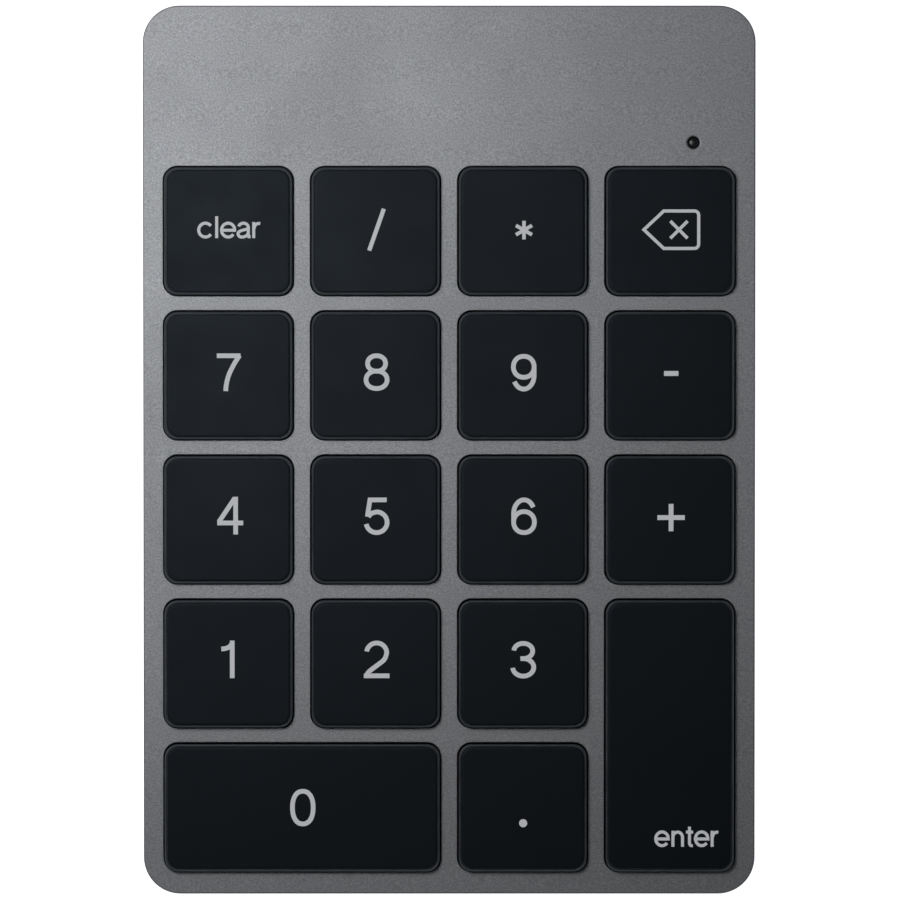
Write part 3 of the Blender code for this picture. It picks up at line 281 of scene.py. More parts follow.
# the legends' grey ink, with a painted glow
INK_PAINTED_GLOW = legend_ink_painted_glow()
COVER = moulded("cover_grey", (0.30, 0.31, 0.32), (0.36, 0.37, 0.38), 0.52, 3500, 0.00003)
RUBBER = moulded("foot_rubber_grey", (0.055, 0.057, 0.06), (0.075, 0.077, 0.08), 0.78, 2600, 0.00004)
ACETAL = moulded("scissor_dark", (0.018, 0.019, 0.021), (0.026, 0.027, 0.03), 0.42)
SILICONE = moulded("dome_rubber_dark", (0.016, 0.017, 0.018), (0.024, 0.025, 0.026), 0.62)
FILM = moulded("membrane_dark", (0.020, 0.021, 0.024), (0.030, 0.032, 0.036), 0.3, 900, 0.00001)
SWITCH = moulded("switch_black", (0.016, 0.017, 0.019), (0.024, 0.025, 0.028), 0.46)
SWITCH_BODY = moulded("switch_body_black", (0.012, 0.012, 0.013), (0.02, 0.02, 0.021), 0.5)
BUTTON = moulded("button_grey", (0.40, 0.41, 0.42), (0.48, 0.49, 0.50), 0.44)
STEEL = bare_metal("screw_nickel", (0.48, 0.47, 0.45), (0.60, 0.59, 0.57), 0.28, (1, 1, 4))
WIRE = bare_metal("wire_steel", (0.40, 0.40, 0.40), (0.52, 0.52, 0.52), 0.3, (0.2, 1, 1))
PLATE = bare_metal("plate_black_steel", (0.02, 0.02, 0.022), (0.035, 0.035, 0.038), 0.45, (0.1, 1, 1))
PORT = bare_metal("port_nickel", (0.50, 0.50, 0.49), (0.62, 0.62, 0.61), 0.27, (1, 0.15, 1))
SHIELD = bare_metal("shield_tin", (0.52, 0.53, 0.54), (0.62, 0.63, 0.64), 0.34, (0.2, 1, 1))
FOIL = bare_metal("battery_foil_grey", (0.42, 0.43, 0.45), (0.56, 0.57, 0.59), 0.4, (1, 1, 1), 500)
LEAD = moulded("lead_red", (0.30, 0.012, 0.010), (0.40, 0.02, 0.016), 0.4)
GOLD = bare_metal("contact_gold", (0.75, 0.52, 0.20), (0.85, 0.62, 0.28), 0.26)
LAMINATE = board_green()
LENS = lens_material()


# ---------------------------------------------------------------- mesh helpers


def rounded(half_x, half_y, radius, steps=10, centre=(0, 0)):
    """Points round a rectangle with round corners, anticlockwise."""
    points = []
    for k, (sx, sy) in enumerate(((1, -1), (1, 1), (-1, 1), (-1, -1))):
        for i in range(steps + 1):
            angle = (k - 1) * math.pi / 2 + i / steps * math.pi / 2
            x = sx * (half_x - radius) + radius * math.cos(angle)
            y = sy * (half_y - radius) + radius * math.sin(angle)
            points.append(Vector((centre[0] + x, centre[1] + y)))
    return points


def circle(radius, steps=48, centre=(0, 0)):
    turn = 2 * math.pi / steps
    return [
        Vector((centre[0] + radius * math.cos(i * turn), centre[1] + radius * math.sin(i * turn)))
        for i in range(steps)
    ]


def new_object(name, mesh, *materials):
    obj = bpy.data.objects.new(name, mesh)
    bpy.context.scene.collection.objects.link(obj)
    for mat in materials:
        mesh.materials.append(mat)
    return obj


SHARP = 35.0  # the turn in degrees from which an edge stays sharp in shading


def shade_smooth(mesh, angle=SHARP):
    for face in mesh.polygons:
        face.use_smooth = True
    mesh.set_sharp_from_angle(angle=math.radians(angle))


def finish_mesh(bm, name, angle=SHARP):
    """A mesh with smooth faces that stays sharp where it turns by more than the angle."""
    mesh = bpy.data.meshes.new(name)
    bm.to_mesh(mesh)
    bm.free()
    shade_smooth(mesh, angle)
    return mesh


def absorb(bm, part):
    """Adds a second mesh's faces to the first, and frees the second."""
    spare = bpy.data.meshes.new("spare")
    part.to_mesh(spare)
    part.free()
    bm.from_mesh(spare)
    bpy.data.meshes.remove(spare)


def ring(bm, points):
    """Vertices at 3D points, in order."""
    return [bm.verts.new(p) for p in points]


def bridge(bm, first, second, index=0):
    """Quads between two rings of the same length."""
    count = len(first)
    for i in range(count):
        j = (i + 1) % count
        face = bm.faces.new((first[i], first[j], second[j], second[i]))
        face.material_index = index


def skin(bm, rings):
    """A closed body through rings of vertices, one after the other, with its ends filled."""
    for a, b in zip(rings, rings[1:]):
        bridge(bm, a, b)
    bm.faces.new(list(reversed(rings[0])))
    bm.faces.new(rings[-1])


def lift(points, z):
    return [Vector((p.x, p.y, z)) for p in points]


def turned(name, profile, steps=48, angle=SHARP):
    """A closed body of revolution about Z, from (radius, height) points that start and end on the axis."""
    bm = bmesh.new()
    rings = []
    for radius, height in profile:
        if radius > 0:
            rings.append(ring(bm, lift(circle(radius, steps), height)))
        else:
            rings.append([bm.verts.new((0, 0, height))])
    for a, b in zip(rings, rings[1:]):
        for i in range(steps):
            j = (i + 1) % steps
            if len(a) == 1:
                bm.faces.new((a[0], b[j], b[i]))
            elif len(b) == 1:
                bm.faces.new((a[i], a[j], b[0]))
            else:
                bm.faces.new((a[i], a[j], b[j], b[i]))
    bmesh.ops.recalc_face_normals(bm, faces=bm.faces[:])
    return finish_mesh(bm, name, angle)


def round_edge(radius, steps=4):
    """(inset, drop) pairs for a quarter round between a wall and a top face, from the wall up."""
    return [
        (radius * (1 - math.cos(i / steps * math.pi / 2)), radius * (1 - math.sin(i / steps * math.pi / 2)))
        for i in range(steps + 1)
    ]


def block(bm, low, high, radius=0.0, steps=4, edge=0.0, axis=2):
    """A closed block with corners rounded about one axis and its two end faces' edges softened."""
    a, b = ((1, 2), (2, 0), (0, 1))[axis]
    centre = ((low[a] + high[a]) / 2, (low[b] + high[b]) / 2)
    half = ((high[a] - low[a]) / 2, (high[b] - low[b]) / 2)
    rings = []
    soft = round_edge(edge, 3) if edge else [(0, 0)]
    levels = [(inset, low[axis] + drop) for inset, drop in reversed(soft)]
    levels += [(inset, high[axis] - drop) for inset, drop in soft]
    for inset, level in levels:
        outline = rounded(half[0] - inset, half[1] - inset, max(radius - inset, 0.02 * MM), steps, centre)
        points = []
        for p in outline:
            co = [0, 0, 0]
            co[a], co[b], co[axis] = p.x, p.y, level
            points.append(Vector(co))
        rings.append(ring(bm, points))
    skin(bm, rings)


def cut(obj, other, operation="DIFFERENCE"):
    """Applies a boolean with a throwaway object."""
    modifier = obj.modifiers.new("cut", "BOOLEAN")
    modifier.operation = operation
    modifier.solver = "EXACT"
    modifier.object = other
    bpy.context.view_layer.update()
    evaluated = obj.evaluated_get(bpy.context.evaluated_depsgraph_get())
    mesh = bpy.data.meshes.new_from_object(evaluated)
    obj.modifiers.clear()
    obj.data = mesh
    bpy.data.objects.remove(other)
    shade_smooth(mesh)


def cutter(bm, matrix=None):
    if matrix is not None:
        bm.transform(matrix)
    return new_object("cutter", finish_mesh(bm, "cutter"))


THIN = 1e-14  # twice the area, in square metres, under which three corners count as one line


def filled_with_holes(bm, rings, up):
    """Fills the first ring, leaving the other rings open as holes.

    Three corners in line make a triangle without area. Its neighbour across its long side is split at the middle
    corner instead, so that the surface stays closed.
    """
    flat = [[Vector((v.co.x, v.co.y, 0)) for v in r] for r in rings]
    verts = [v for r in rings for v in r]

    def normal_of(tri):
        a, b, c = (verts[i].co for i in tri)
        return (b - a).cross(c - a)

    triangles = [tuple(tri) for tri in geometry.tessellate_polygon(flat)]
    thin = [tri for tri in triangles if normal_of(tri).length < THIN]
    triangles = [tri for tri in triangles if normal_of(tri).length >= THIN]
    while thin:
        waiting = []
        for tri in thin:
            middle = min(tri, key=lambda i: sum((verts[i].co - verts[j].co).length for j in tri))
            first, last = (i for i in tri if i != middle)
            beside = next((t for t in triangles if first in t and last in t), None)
            if beside is None:
                waiting.append(tri)
                continue
            apex = next(i for i in beside if i not in (first, last))
            triangles.remove(beside)
            triangles += [(first, middle, apex), (middle, last, apex)]
        if len(waiting) == len(thin):
            break
        thin = waiting
    for tri in triangles:
        corner = [verts[i] for i in tri]
        if (normal_of(tri).z > 0) != up:
            corner.reverse()
        bm.faces.new(corner)


# ---------------------------------------------------------------- top case


def on_deck(point, drop=0.0):
    """A point in plan put on the plane of the deck, lowered by drop along the normal."""
    origin = Vector((0, 0, DECK_HEIGHT)) - DECK_NORMAL * drop
    z = origin.z - (DECK_NORMAL.x * (point.x - origin.x) + DECK_NORMAL.y * (point.y - origin.y)) / DECK_NORMAL.z
    return Vector((point.x, point.y, z))


def deck_points(points, w):
    return [DECK @ Vector((p.x, p.y, w)) for p in points]


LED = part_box("led_light_pipe")
LED_AT = DECK.inverted() @ ((LED[0] + LED[1]) / 2)
LED_HOLE = 0.8 * MM


GUARD = 0.1 * MM  # a flat band inside every rounded rim, which keeps the deck's shading flat


def build_top_case():
    """The milled shell: a deck with rounded openings, thin walls, and a fine rim round every edge."""
    bm = bmesh.new()
    steps = 20
    edge, well_edge, foot_edge = 0.16 * MM, 0.09 * MM, 0.1 * MM
    bottom = CASE_LOW.z

    def outline(inset):
        return rounded(HALF_WIDTH - inset, HALF_LENGTH - inset, CASE_RADIUS - inset, steps)

    outer = [ring(bm, lift(outline(foot_edge), bottom)), ring(bm, lift(outline(0), bottom + foot_edge))]
    for inset, drop in [*round_edge(edge, 4), (edge + GUARD, 0)]:
        outer.append(ring(bm, [on_deck(p, drop) for p in outline(inset)]))
    bridge(bm, outer[0], outer[1])
    bridge(bm, outer[1], outer[2])
    for a, b in zip(outer[2:], outer[3:]):
        bridge(bm, a, b, 0 if b is outer[-1] else 1)

    inner_bottom = ring(bm, lift(outline(WALL), bottom))
    inner_top = ring(bm, [on_deck(p, DECK_THICKNESS) for p in outline(WALL)])
    bridge(bm, inner_bottom, outer[0])
    bridge(bm, inner_top, inner_bottom)

    top_holes, under_holes = [], []
    rim = [*round_edge(well_edge, 4), (well_edge + GUARD, 0)]
    holes = [(key_centre(*key), *well_size(*key)) for key in KEYS.values()]
    for centre, width, length in holes:
        shapes = []
        for inset, drop in reversed(rim):
            points = rounded(width / 2 + inset, length / 2 + inset, WELL_RADIUS + inset, 10, centre)
            shapes.append(ring(bm, deck_points(points, -drop)))
        wall_bottom = rounded(width / 2, length / 2, WELL_RADIUS, 10, centre)
        shapes.append(ring(bm, deck_points(wall_bottom, -DECK_THICKNESS)))
        for a, b in zip(shapes, shapes[1:]):
            bridge(bm, b, a, 0 if a is shapes[0] or b is shapes[-1] else 1)
        top_holes.append(shapes[0])
        under_holes.append(shapes[-1])
    shapes = []
    # (inset, drop) in millimetres, from the lamp hole's wall out to the flat deck
    countersink = [(0, 0.1), (0.012, 0.06), (0.035, 0.036), (0.16, 0.002), (0.18, 0), (0.28, 0)]
    for inset, drop in reversed(countersink):
        shapes.append(ring(bm, deck_points(circle(LED_HOLE + inset * MM, 40, LED_AT), -drop * MM)))
    shapes.append(ring(bm, deck_points(circle(LED_HOLE, 40, LED_AT), -DECK_THICKNESS)))
    for a, b in zip(shapes, shapes[1:]):
        bridge(bm, b, a)
    top_holes.append(shapes[0])
    under_holes.append(shapes[-1])
    filled_with_holes(bm, [outer[-1], *top_holes], True)
    filled_with_holes(bm, [inner_top, *under_holes], False)
    bmesh.ops.recalc_face_normals(bm, faces=bm.faces[:])
    case = new_object("case_shell", finish_mesh(bm, "case_shell"), ALUMINIUM, RIM)

    def opening(low, high, travel, gap, radius, steps):
        """Cuts the rear wall round a box, with room for it to slide along X."""
        bm = bmesh.new()
        reach = 3 * MM
        block(
            bm,
            (low.x - gap, HALF_LENGTH - reach, low.z - gap),
            (high.x + travel + gap, HALF_LENGTH + reach, high.z + gap),
            radius,
            steps,
            axis=1,
        )
        cut(case, cutter(bm))

    port_low, port_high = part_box("usb_c_socket")
    gap = 0.25 * MM
    opening(port_low, port_high, 0, gap, 0.98 * ((port_high.z - port_low.z) / 2 + gap), 12)
    opening(*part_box("power_switch_slider"), 2.0 * MM, 0.2 * MM, 0.5 * MM, 6)
    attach(case, "case")
    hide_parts("top_case")


# ---------------------------------------------------------------- keycaps


def cap_profile():
    """(inset, height) rings of a keycap's outside: the skirt, a fine bead round its top, a groove, and the flat."""
    rings = [(0.06, -0.6), (0, -0.54), (0, 0.3), (0, 1.26), (0.02, 1.33), (0.06, 1.38), (0.12, 1.41)]
    rings += [(0.20, 1.41), (0.24, 1.38), (0.26, 1.32), (0.30, 1.32), (0.31, 1.40), (0.32, 1.48)]
    rings += [(0.335, 1.545), (0.38, 1.585), (0.44, 1.6), (0.64, 1.6)]
    return [(inset * MM, height * MM) for inset, height in rings]


CAP_GAP = 0.17 * MM
# faces between these heights take the bead's material, painted paler as a painted highlight
BEAD_LOW, BEAD_HIGH = 1.25 * MM, 1.42 * MM  # the heights between which a cap's faces belong to its bead


def build_keycap(name, key):
    """A hollow cap with a softened rim and, inside, the lugs that clip it to its scissor."""
    centre = key_centre(*key)
    width, length = well_size(*key)
    half_x, half_y = width / 2 - CAP_GAP, length / 2 - CAP_GAP
    radius = WELL_RADIUS - CAP_GAP
    bm = bmesh.new()
    rings = []
    for inset, height in cap_profile():
        corner = max(radius - inset * 0.5, 0.3 * MM)
        rings.append(ring(bm, lift(rounded(half_x - inset, half_y - inset, corner, 8, centre), height)))
    skirt = 0.95 * MM
    inside = [
        ring(bm, lift(rounded(half_x - skirt, half_y - skirt, radius * 0.55, 8, centre), z))
        for z in (CAP_CEILING, CAP_BOTTOM)
    ]
    skin(bm, [*inside, *rings])
    # the bead's faces get the second material, whose paler colour is a painted highlight
    for face in bm.faces:
        heights = [v.co.z for v in face.verts]
        if min(heights) > BEAD_LOW and max(heights) < BEAD_HIGH:
            face.material_index = 1
    lugs = bmesh.new()
    half, soft, root = 1.5 * MM, 0.1 * MM, CAP_CEILING + 0.2 * MM
    near, far = 6.32 * MM, 6.67 * MM
    if key[2] == key[3] == 1:
        hook_near, hook_far, hook_top = 5.68 * MM, 6.5 * MM, -0.42 * MM
        block(lugs, (-half, near, CAP_BOTTOM), (half, far, root), soft, 2)
        block(lugs, (-half, hook_near, CAP_BOTTOM), (half, hook_far, hook_top), soft, 2)
    else:
        guide_bottom = 0.13 * MM
        block(lugs, (-half, near, guide_bottom), (half, far, root), soft, 2)
    lugs.transform(Matrix.Translation((*centre, 0)) @ key_turn(*key))
    absorb(bm, lugs)
    bm.transform(DECK)
    cap = new_object("cap_" + name, finish_mesh(bm, "cap_" + name, 55), KEY, KEY_EDGE_PAINTED_HIGHLIGHT)
    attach(cap, "key_" + name)
    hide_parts("keycap_" + name)


# ---------------------------------------------------------------- legends


def arc(cx, cy, rx, ry, start, end, steps=24):
    """Points along an elliptical arc, angles in degrees, anticlockwise if end is larger."""
    points = []
    for i in range(steps + 1):
        angle = math.radians(start + (end - start) * i / steps)
        points.append((cx + rx * math.cos(angle), cy + ry * math.sin(angle)))
    return points


def oval(cx, cy, rx, ry, power=2.25, steps=64):
    """A closed, slightly squared oval, as an outline's centre line."""
    points = []
    for i in range(steps):
        angle = 2 * math.pi * i / steps
        c, s = math.cos(angle), math.sin(angle)
        x = math.copysign(abs(c) ** (2 / power), c)
        y = math.copysign(abs(s) ** (2 / power), s)
        points.append((cx + rx * x, cy + ry * y))
    return points


def curve_through(*points, steps=10):
    """A smooth curve through points, by Catmull-Rom."""
    pts = [points[0], *points, points[-1]]
    out = []
    for i in range(1, len(pts) - 2):
        p0, p1, p2, p3 = pts[i - 1 : i + 3]
        for k in range(steps):
            t = k / steps
            out.append(
                tuple(
                    0.5
                    * (
                        2 * p1[a]
                        + (p2[a] - p0[a]) * t
                        + (2 * p0[a] - 5 * p1[a] + 4 * p2[a] - p3[a]) * t * t
                        + (3 * p1[a] - p0[a] - 3 * p2[a] + p3[a]) * t**3
                    )
                    for a in (0, 1)
                )
            )
    out.append(points[-1])
    return out


SHORTEST_STEP = 0.1 * MM  # points of a stroke closer than this count as one
MITRE_LIMIT = 0.35  # the least cosine of half a turn that a mitre follows


def ribbon(bm, path, width, closed, low, high):
    """A flat strip of constant width along a path, with mitred turns, as one closed solid."""
    pts = [Vector(p) for p in path]
    clean = [pts[0]]
    for p in pts[1:]:
        if (p - clean[-1]).length > SHORTEST_STEP:
            clean.append(p)
    if closed and (clean[0] - clean[-1]).length < SHORTEST_STEP:
        clean.pop()
    count = len(clean)
    left, right = [], []
    for i, p in enumerate(clean):
        before = clean[(i - 1) % count] if closed or i else None
        after = clean[(i + 1) % count] if closed or i < count - 1 else None
        d1 = (p - before).normalized() if before is not None else (after - p).normalized()
        d2 = (after - p).normalized() if after is not None else d1
        n1, n2 = Vector((-d1.y, d1.x)), Vector((-d2.y, d2.x))
        miter = (n1 + n2).normalized()
        reach = width / 2 / max(miter.dot(n1), MITRE_LIMIT)
        left.append(p + miter * reach)
        right.append(p - miter * reach)
    sections = [
        ring(bm, [(b.x, b.y, low), (a.x, a.y, low), (a.x, a.y, high), (b.x, b.y, high)])
        for a, b in zip(left, right)
    ]
    pairs = list(zip(sections, sections[1:]))
    if closed:
        pairs.append((sections[-1], sections[0]))
    for a, b in pairs:
        for i in range(4):
            j = (i + 1) % 4
            bm.faces.new((a[i], a[j], b[j], b[i]))
    if not closed:
        bm.faces.new(list(reversed(sections[0])))
        bm.faces.new(sections[-1])


# Every digit's strokes in millimetres about its middle: (path, closed).
DIGITS = {
    "0": [(oval(0, 0, 1.34, 2.12), True)],
    "1": [
        ([(0.56, -2.45), (0.56, 2.42)], False),
        (curve_through((0.5, 1.98), (0.2, 1.62), (-0.3, 1.4), (-0.94, 1.32)), False),
    ],
    "2": [
        (
            [
                *arc(0, 0.86, 1.30, 1.27, 172, 0, 26),
                *curve_through((1.30, 0.80), (0.98, -0.02), (0.1, -0.74), (-0.98, -1.58), (-1.34, -2.12)),
            ][:-1]
            + [(-1.30, -2.10)],
            False,
        ),
        ([(-1.66, -2.13), (1.66, -2.13)], False),
    ],
    "3": [
        ([*arc(0, 1.14, 1.22, 0.99, 176, -90, 30), (-0.36, 0.15)], False),
        ([(-0.36, 0.15), *arc(0, -0.98, 1.36, 1.14, 90, -176, 34)], False),
    ],
    "4": [
        ([(0.81, -2.36), (0.81, 2.52)], False),
        ([(-1.35, -0.72), (0.71, 2.36)], False),
        ([(-1.57, -0.87), (1.78, -0.87)], False),
    ],
    "5": [
        ([(1.30, 2.12), (-0.86, 2.12), (-1.20, -0.06)], False),
        (
            [
                *curve_through((-1.06, -0.08), (-0.68, 0.36), (-0.02, 0.56))[:-1],
                *arc(0.0, -0.78, 1.36, 1.34, 88, -170, 34),
            ],
            False,
        ),
    ],
    "6": [
        (oval(0.02, -0.76, 1.34, 1.36, 2.1), True),
        ([*arc(0.02, 0.35, 1.34, 1.77, 27, 180, 30), (-1.32, -0.76)], False),
    ],
    "7": [
        ([(-1.60, 2.12), (1.46, 2.12)], False),
        (curve_through((1.34, 2.16), (0.62, 1.02), (-0.02, -0.28), (-0.36, -1.5), (-0.46, -2.45)), False),
    ],
    "8": [
        (oval(0, 1.12, 1.16, 1.0, 2.1), True),
        (oval(0, -0.99, 1.36, 1.13, 2.1), True),
    ],
}
DIGITS["9"] = [([(-x, -y) for x, y in path], closed) for path, closed in DIGITS["6"]]


def star(reach):
    """Three strokes through one point, for the six arms of a multiplication sign."""
    strokes = []
    for degrees in (90, 30, 150):
        x, y = reach * math.cos(math.radians(degrees)), reach * math.sin(math.radians(degrees))
        strokes.append(([(-x, -y), (x, y)], False))
    return strokes


SIGNS = {
    "divide": [([(-0.95, -2.7), (0.95, 2.7)], False)],
    "multiply": star(1.2),
    "minus": [([(-0.93, 0), (0.93, 0)], False)],
    "plus": [([(-1.77, 0), (1.77, 0)], False), ([(0, -1.77), (0, 1.77)], False)],
    "decimal": [(oval(0, 0, 0.27, 0.27, 2.0, 24), True)],
    "backspace": [
        (
            [
                (-3.52, 0),
                (-0.95, 2.42),
                *arc(3.0, 1.86, 0.56, 0.56, 90, 0, 8),
                *arc(3.0, -1.86, 0.56, 0.56, 0, -90, 8),
                (-0.95, -2.42),
            ],
            True,
        ),
        ([(-0.1, -1.11), (2.12, 1.11)], False),
        ([(-0.1, 1.11), (2.12, -1.11)], False),
    ],
}

# Small letters as (advance, strokes), in units that word_strokes scales to a word's width and x-height
LETTERS = {
    "c": (0.958, [(arc(0.47, 0.5, 0.39, 0.43, 38, 322, 26), False)]),
    "l": (0.327, [([(0.156, 0), (0.156, 1.36)], False)]),
    "e": (0.97, [([(0.11, 0.49), (0.86, 0.49), *arc(0.49, 0.5, 0.38, 0.43, 4, 322, 32)], False)]),
    "a": (
        0.84,
        [
            (
                [
                    *arc(0.40, 0.66, 0.28, 0.27, 165, 0, 14),
                    (0.68, 0.16),
                    (0.71, 0.09),
                    (0.81, 0.08),
                ],
                False,
            ),
            (
                curve_through(
                    *((0.68, 0.58), (0.38, 0.5), (0.15, 0.40), (0.09, 0.25)),
                    *((0.18, 0.1), (0.36, 0.07), (0.58, 0.16), (0.68, 0.34)),
                ),
                False,
            ),
        ],
    ),
    "r": (
        0.60,
        [
            ([(0.15, 0), (0.15, 1.0)], False),
            (curve_through((0.15, 0.56), (0.25, 0.82), (0.40, 0.91), (0.56, 0.90)), False),
        ],
    ),
    "n": (
        0.93,
        [
            ([(0.18, 0), (0.18, 1.0)], False),
            ([(0.18, 0.55), *arc(0.47, 0.58, 0.29, 0.34, 170, 0, 16), (0.76, 0.0)], False),
        ],
    ),
    "t": (
        0.50,
        [
            ([(0.25, 1.26), (0.25, 0.24), *curve_through((0.255, 0.2), (0.30, 0.09), (0.40, 0.07), (0.47, 0.08))], False),
            ([(0.04, 0.92), (0.47, 0.92)], False),
        ],
    ),
}


def word_strokes(word, height, width):
    """A word's strokes with its x-height and width in millimetres, about the middle of its x-height."""
    scale_x = width / sum(LETTERS[c][0] for c in word)
    strokes, x = [], 0.0
    for c in word:
        advance, paths = LETTERS[c]
        for path, closed in paths:
            moved = [((x + px) * scale_x - width / 2, (py - 0.5) * height) for px, py in path]
            strokes.append((moved, closed))
        x += advance
    return strokes


# Where a sign's middle stands from its key's, in millimetres. Most stand a little above the middle.
OFFSET = {
    "clear": (0.17, 0.15), "divide": (0.13, 0.2), "multiply": (0.13, 0.15), "backspace": (0.1, 0.2),
    "0": (0.08, 0.08), "1": (-0.08, 0.65), "2": (0.13, 0.63), "3": (0.06, 0.58),
    "4": (0.13, 0.5), "5": (0.13, 0.5), "6": (0.13, 0.5), "7": (0.13, 0.47), "8": (0.13, 0.47), "9": (0.13, 0.4),
    "minus": (0.13, 0.3), "plus": (0.13, 0.33), "decimal": (0.05, -1.95), "enter": (2.2, -13.31),
}
# The strokes' widths, and a word's x-height and width, in millimetres
DIGIT_STROKE, WORD_STROKE = 0.6, 0.39
SIGN_STROKE = {"divide": 0.54, "multiply": 0.46, "minus": 0.64, "plus": 0.62, "decimal": 0.52, "backspace": 0.41}
WORDS = {"clear": (2.08, 8.3), "enter": (2.07, 8.5)}
LEGEND_DEPTH, LEGEND_RISE = 0.05 * MM, 0.012 * MM


def build_legend(name, key):
    """The key's sign as thin strokes let into its top, standing a hair proud of it."""
    centre = key_centre(*key)
    low, high = CAP_TOP - LEGEND_DEPTH, CAP_TOP + LEGEND_RISE
    offset = Vector(OFFSET[name])
    if name in DIGITS:
        strokes, width = DIGITS[name], DIGIT_STROKE
    elif name in WORDS:
        strokes, width = word_strokes(name, *WORDS[name]), WORD_STROKE
    else:
        strokes, width = SIGNS[name], SIGN_STROKE[name]
    solid = None
    for path, closed in strokes:
        bm = bmesh.new()
        points = [(x * MM, y * MM) for x, y in path]
        ribbon(bm, points, width * MM, closed, low, high)
        bmesh.ops.recalc_face_normals(bm, faces=bm.faces[:])
        move = Vector((centre.x + offset.x * MM, centre.y + offset.y * MM, 0))
        bm.transform(Matrix.Translation(move))
        mesh = finish_mesh(bm, "legend_" + name)
        obj = new_object("stroke", mesh)
        if solid is None:
            solid = obj
        else:
            cut(solid, obj, "UNION")
    solid.name = "legend_" + name
    solid.data.transform(DECK)
    solid.data.materials.clear()
    solid.data.materials.append(INK_PAINTED_GLOW)
    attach(solid, "key_" + name)


# ---------------------------------------------------------------- scissors and domes


# A scissor's frames at rest: width and depth in millimetres, and tilt in degrees
FRAMES = (((13.2, 12.4), 10.42), ((10.8, 10.0), -13.21))
PIVOT_DROP = 0.875 * MM  # how far its pins lie under the deck


def build_scissor(name, key):
    """Two crossed frames on pins, as they stand at rest, before they fold flat under a pressed key."""
    centre = key_centre(*key)
    bm = bmesh.new()
    for size, tilt in FRAMES:
        part = bmesh.new()
        x, y, bar, half = size[0] / 2 * MM, size[1] / 2 * MM, 0.9 * MM, 0.35 * MM
        soft = 0.1 * MM
        sections = [(0, -half + soft), (soft, -half), (bar - soft, -half), (bar, -half + soft)]
        sections += [(bar, half - soft), (bar - soft, half), (soft, half), (0, half - soft)]
        rings = [
            ring(part, lift(rounded(x - inset, y - inset, max(1.0 * MM - inset * 0.8, 0.15 * MM), 5), z))
            for inset, z in sections
        ]
        for a, b in zip(rings, rings[1:] + rings[:1]):
            bridge(part, a, b)
        part.transform(Matrix.Rotation(math.radians(tilt), 4, "X"))
        absorb(bm, part)
    for side in (-1, 1):
        pin = bmesh.new()
        radius, length, out = 0.32 * MM, 0.9 * MM, side * 5.55 * MM
        place = Matrix.Translation((out, 0, 0)) @ Matrix.Rotation(math.pi / 2, 4, "Y")
        bmesh.ops.create_cone(
            pin, cap_ends=True, segments=20, radius1=radius, radius2=radius, depth=length, matrix=place
        )
        absorb(bm, pin)
    bmesh.ops.recalc_face_normals(bm, faces=bm.faces[:])
    bm.transform(DECK @ Matrix.Translation((*centre, -PIVOT_DROP)) @ key_turn(*key))
    obj = new_object("hinge_frames_" + name, finish_mesh(bm, "hinge_frames_" + name), ACETAL)
    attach(obj, "case")
    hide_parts("scissor_" + name)
    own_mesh(obj)


def build_dome(name, key):
    """A hollow silicone dome with a flared foot and a rounded crown."""
    profile = [
        (0, 0.55), (1.3, 0.55), (1.5, 0.5), (1.6, 0.38), (1.68, 0.0), (1.84, -0.5), (2.2, -1.2), (2.62, -1.9),
        (2.95, -2.3), (3.1, -2.44), (2.5, -2.44), (2.2, -2.0), (1.8, -1.45), (1.4, -1.0), (1.3, -0.95), (0, -0.95),
    ]
    mesh = turned("dome_" + name, [(r * MM, w * MM) for r, w in profile], 32, 50)
    centre = key_centre(*key)
    mesh.transform(DECK @ Matrix.Translation((*centre, 0)))
    obj = new_object("dome_" + name, mesh, SILICONE)
    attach(obj, "case")
    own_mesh(obj)


def build_dome_sheet():
    """The sheet that carries the domes, with an opening under each."""
    bm = bmesh.new()
    front, back, half_width = -54.9, 38.2, 36.6
    low, high = -2.75 * MM, -2.45 * MM
    middle_y = (front + back) / 2 * MM
    outline = rounded(half_width * MM, (back - front) / 2 * MM, 3.0 * MM, 8, (0, middle_y))
    top, under = ring(bm, deck_points(outline, high)), ring(bm, deck_points(outline, low))
    bridge(bm, under, top)
    top_holes, under_holes = [], []
    for key in KEYS.values():
        hole = circle(2.4 * MM, 24, key_centre(*key))
        a, b = ring(bm, deck_points(hole, high)), ring(bm, deck_points(hole, low))
        bridge(bm, a, b)
        top_holes.append(a)
        under_holes.append(b)
    filled_with_holes(bm, [top, *top_holes], True)
    filled_with_holes(bm, [under, *under_holes], False)
    bmesh.ops.recalc_face_normals(bm, faces=bm.faces[:])
    obj = new_object("dome_carrier", finish_mesh(bm, "dome_carrier"), SILICONE)
    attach(obj, "case")
    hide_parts("dome_sheet")


# ---------------------------------------------------------------- underside


def middle(node):
    low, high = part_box(node)
    return (low + high) / 2


def named(prefix):
    return [node for node in nodes if node.startswith(prefix)]


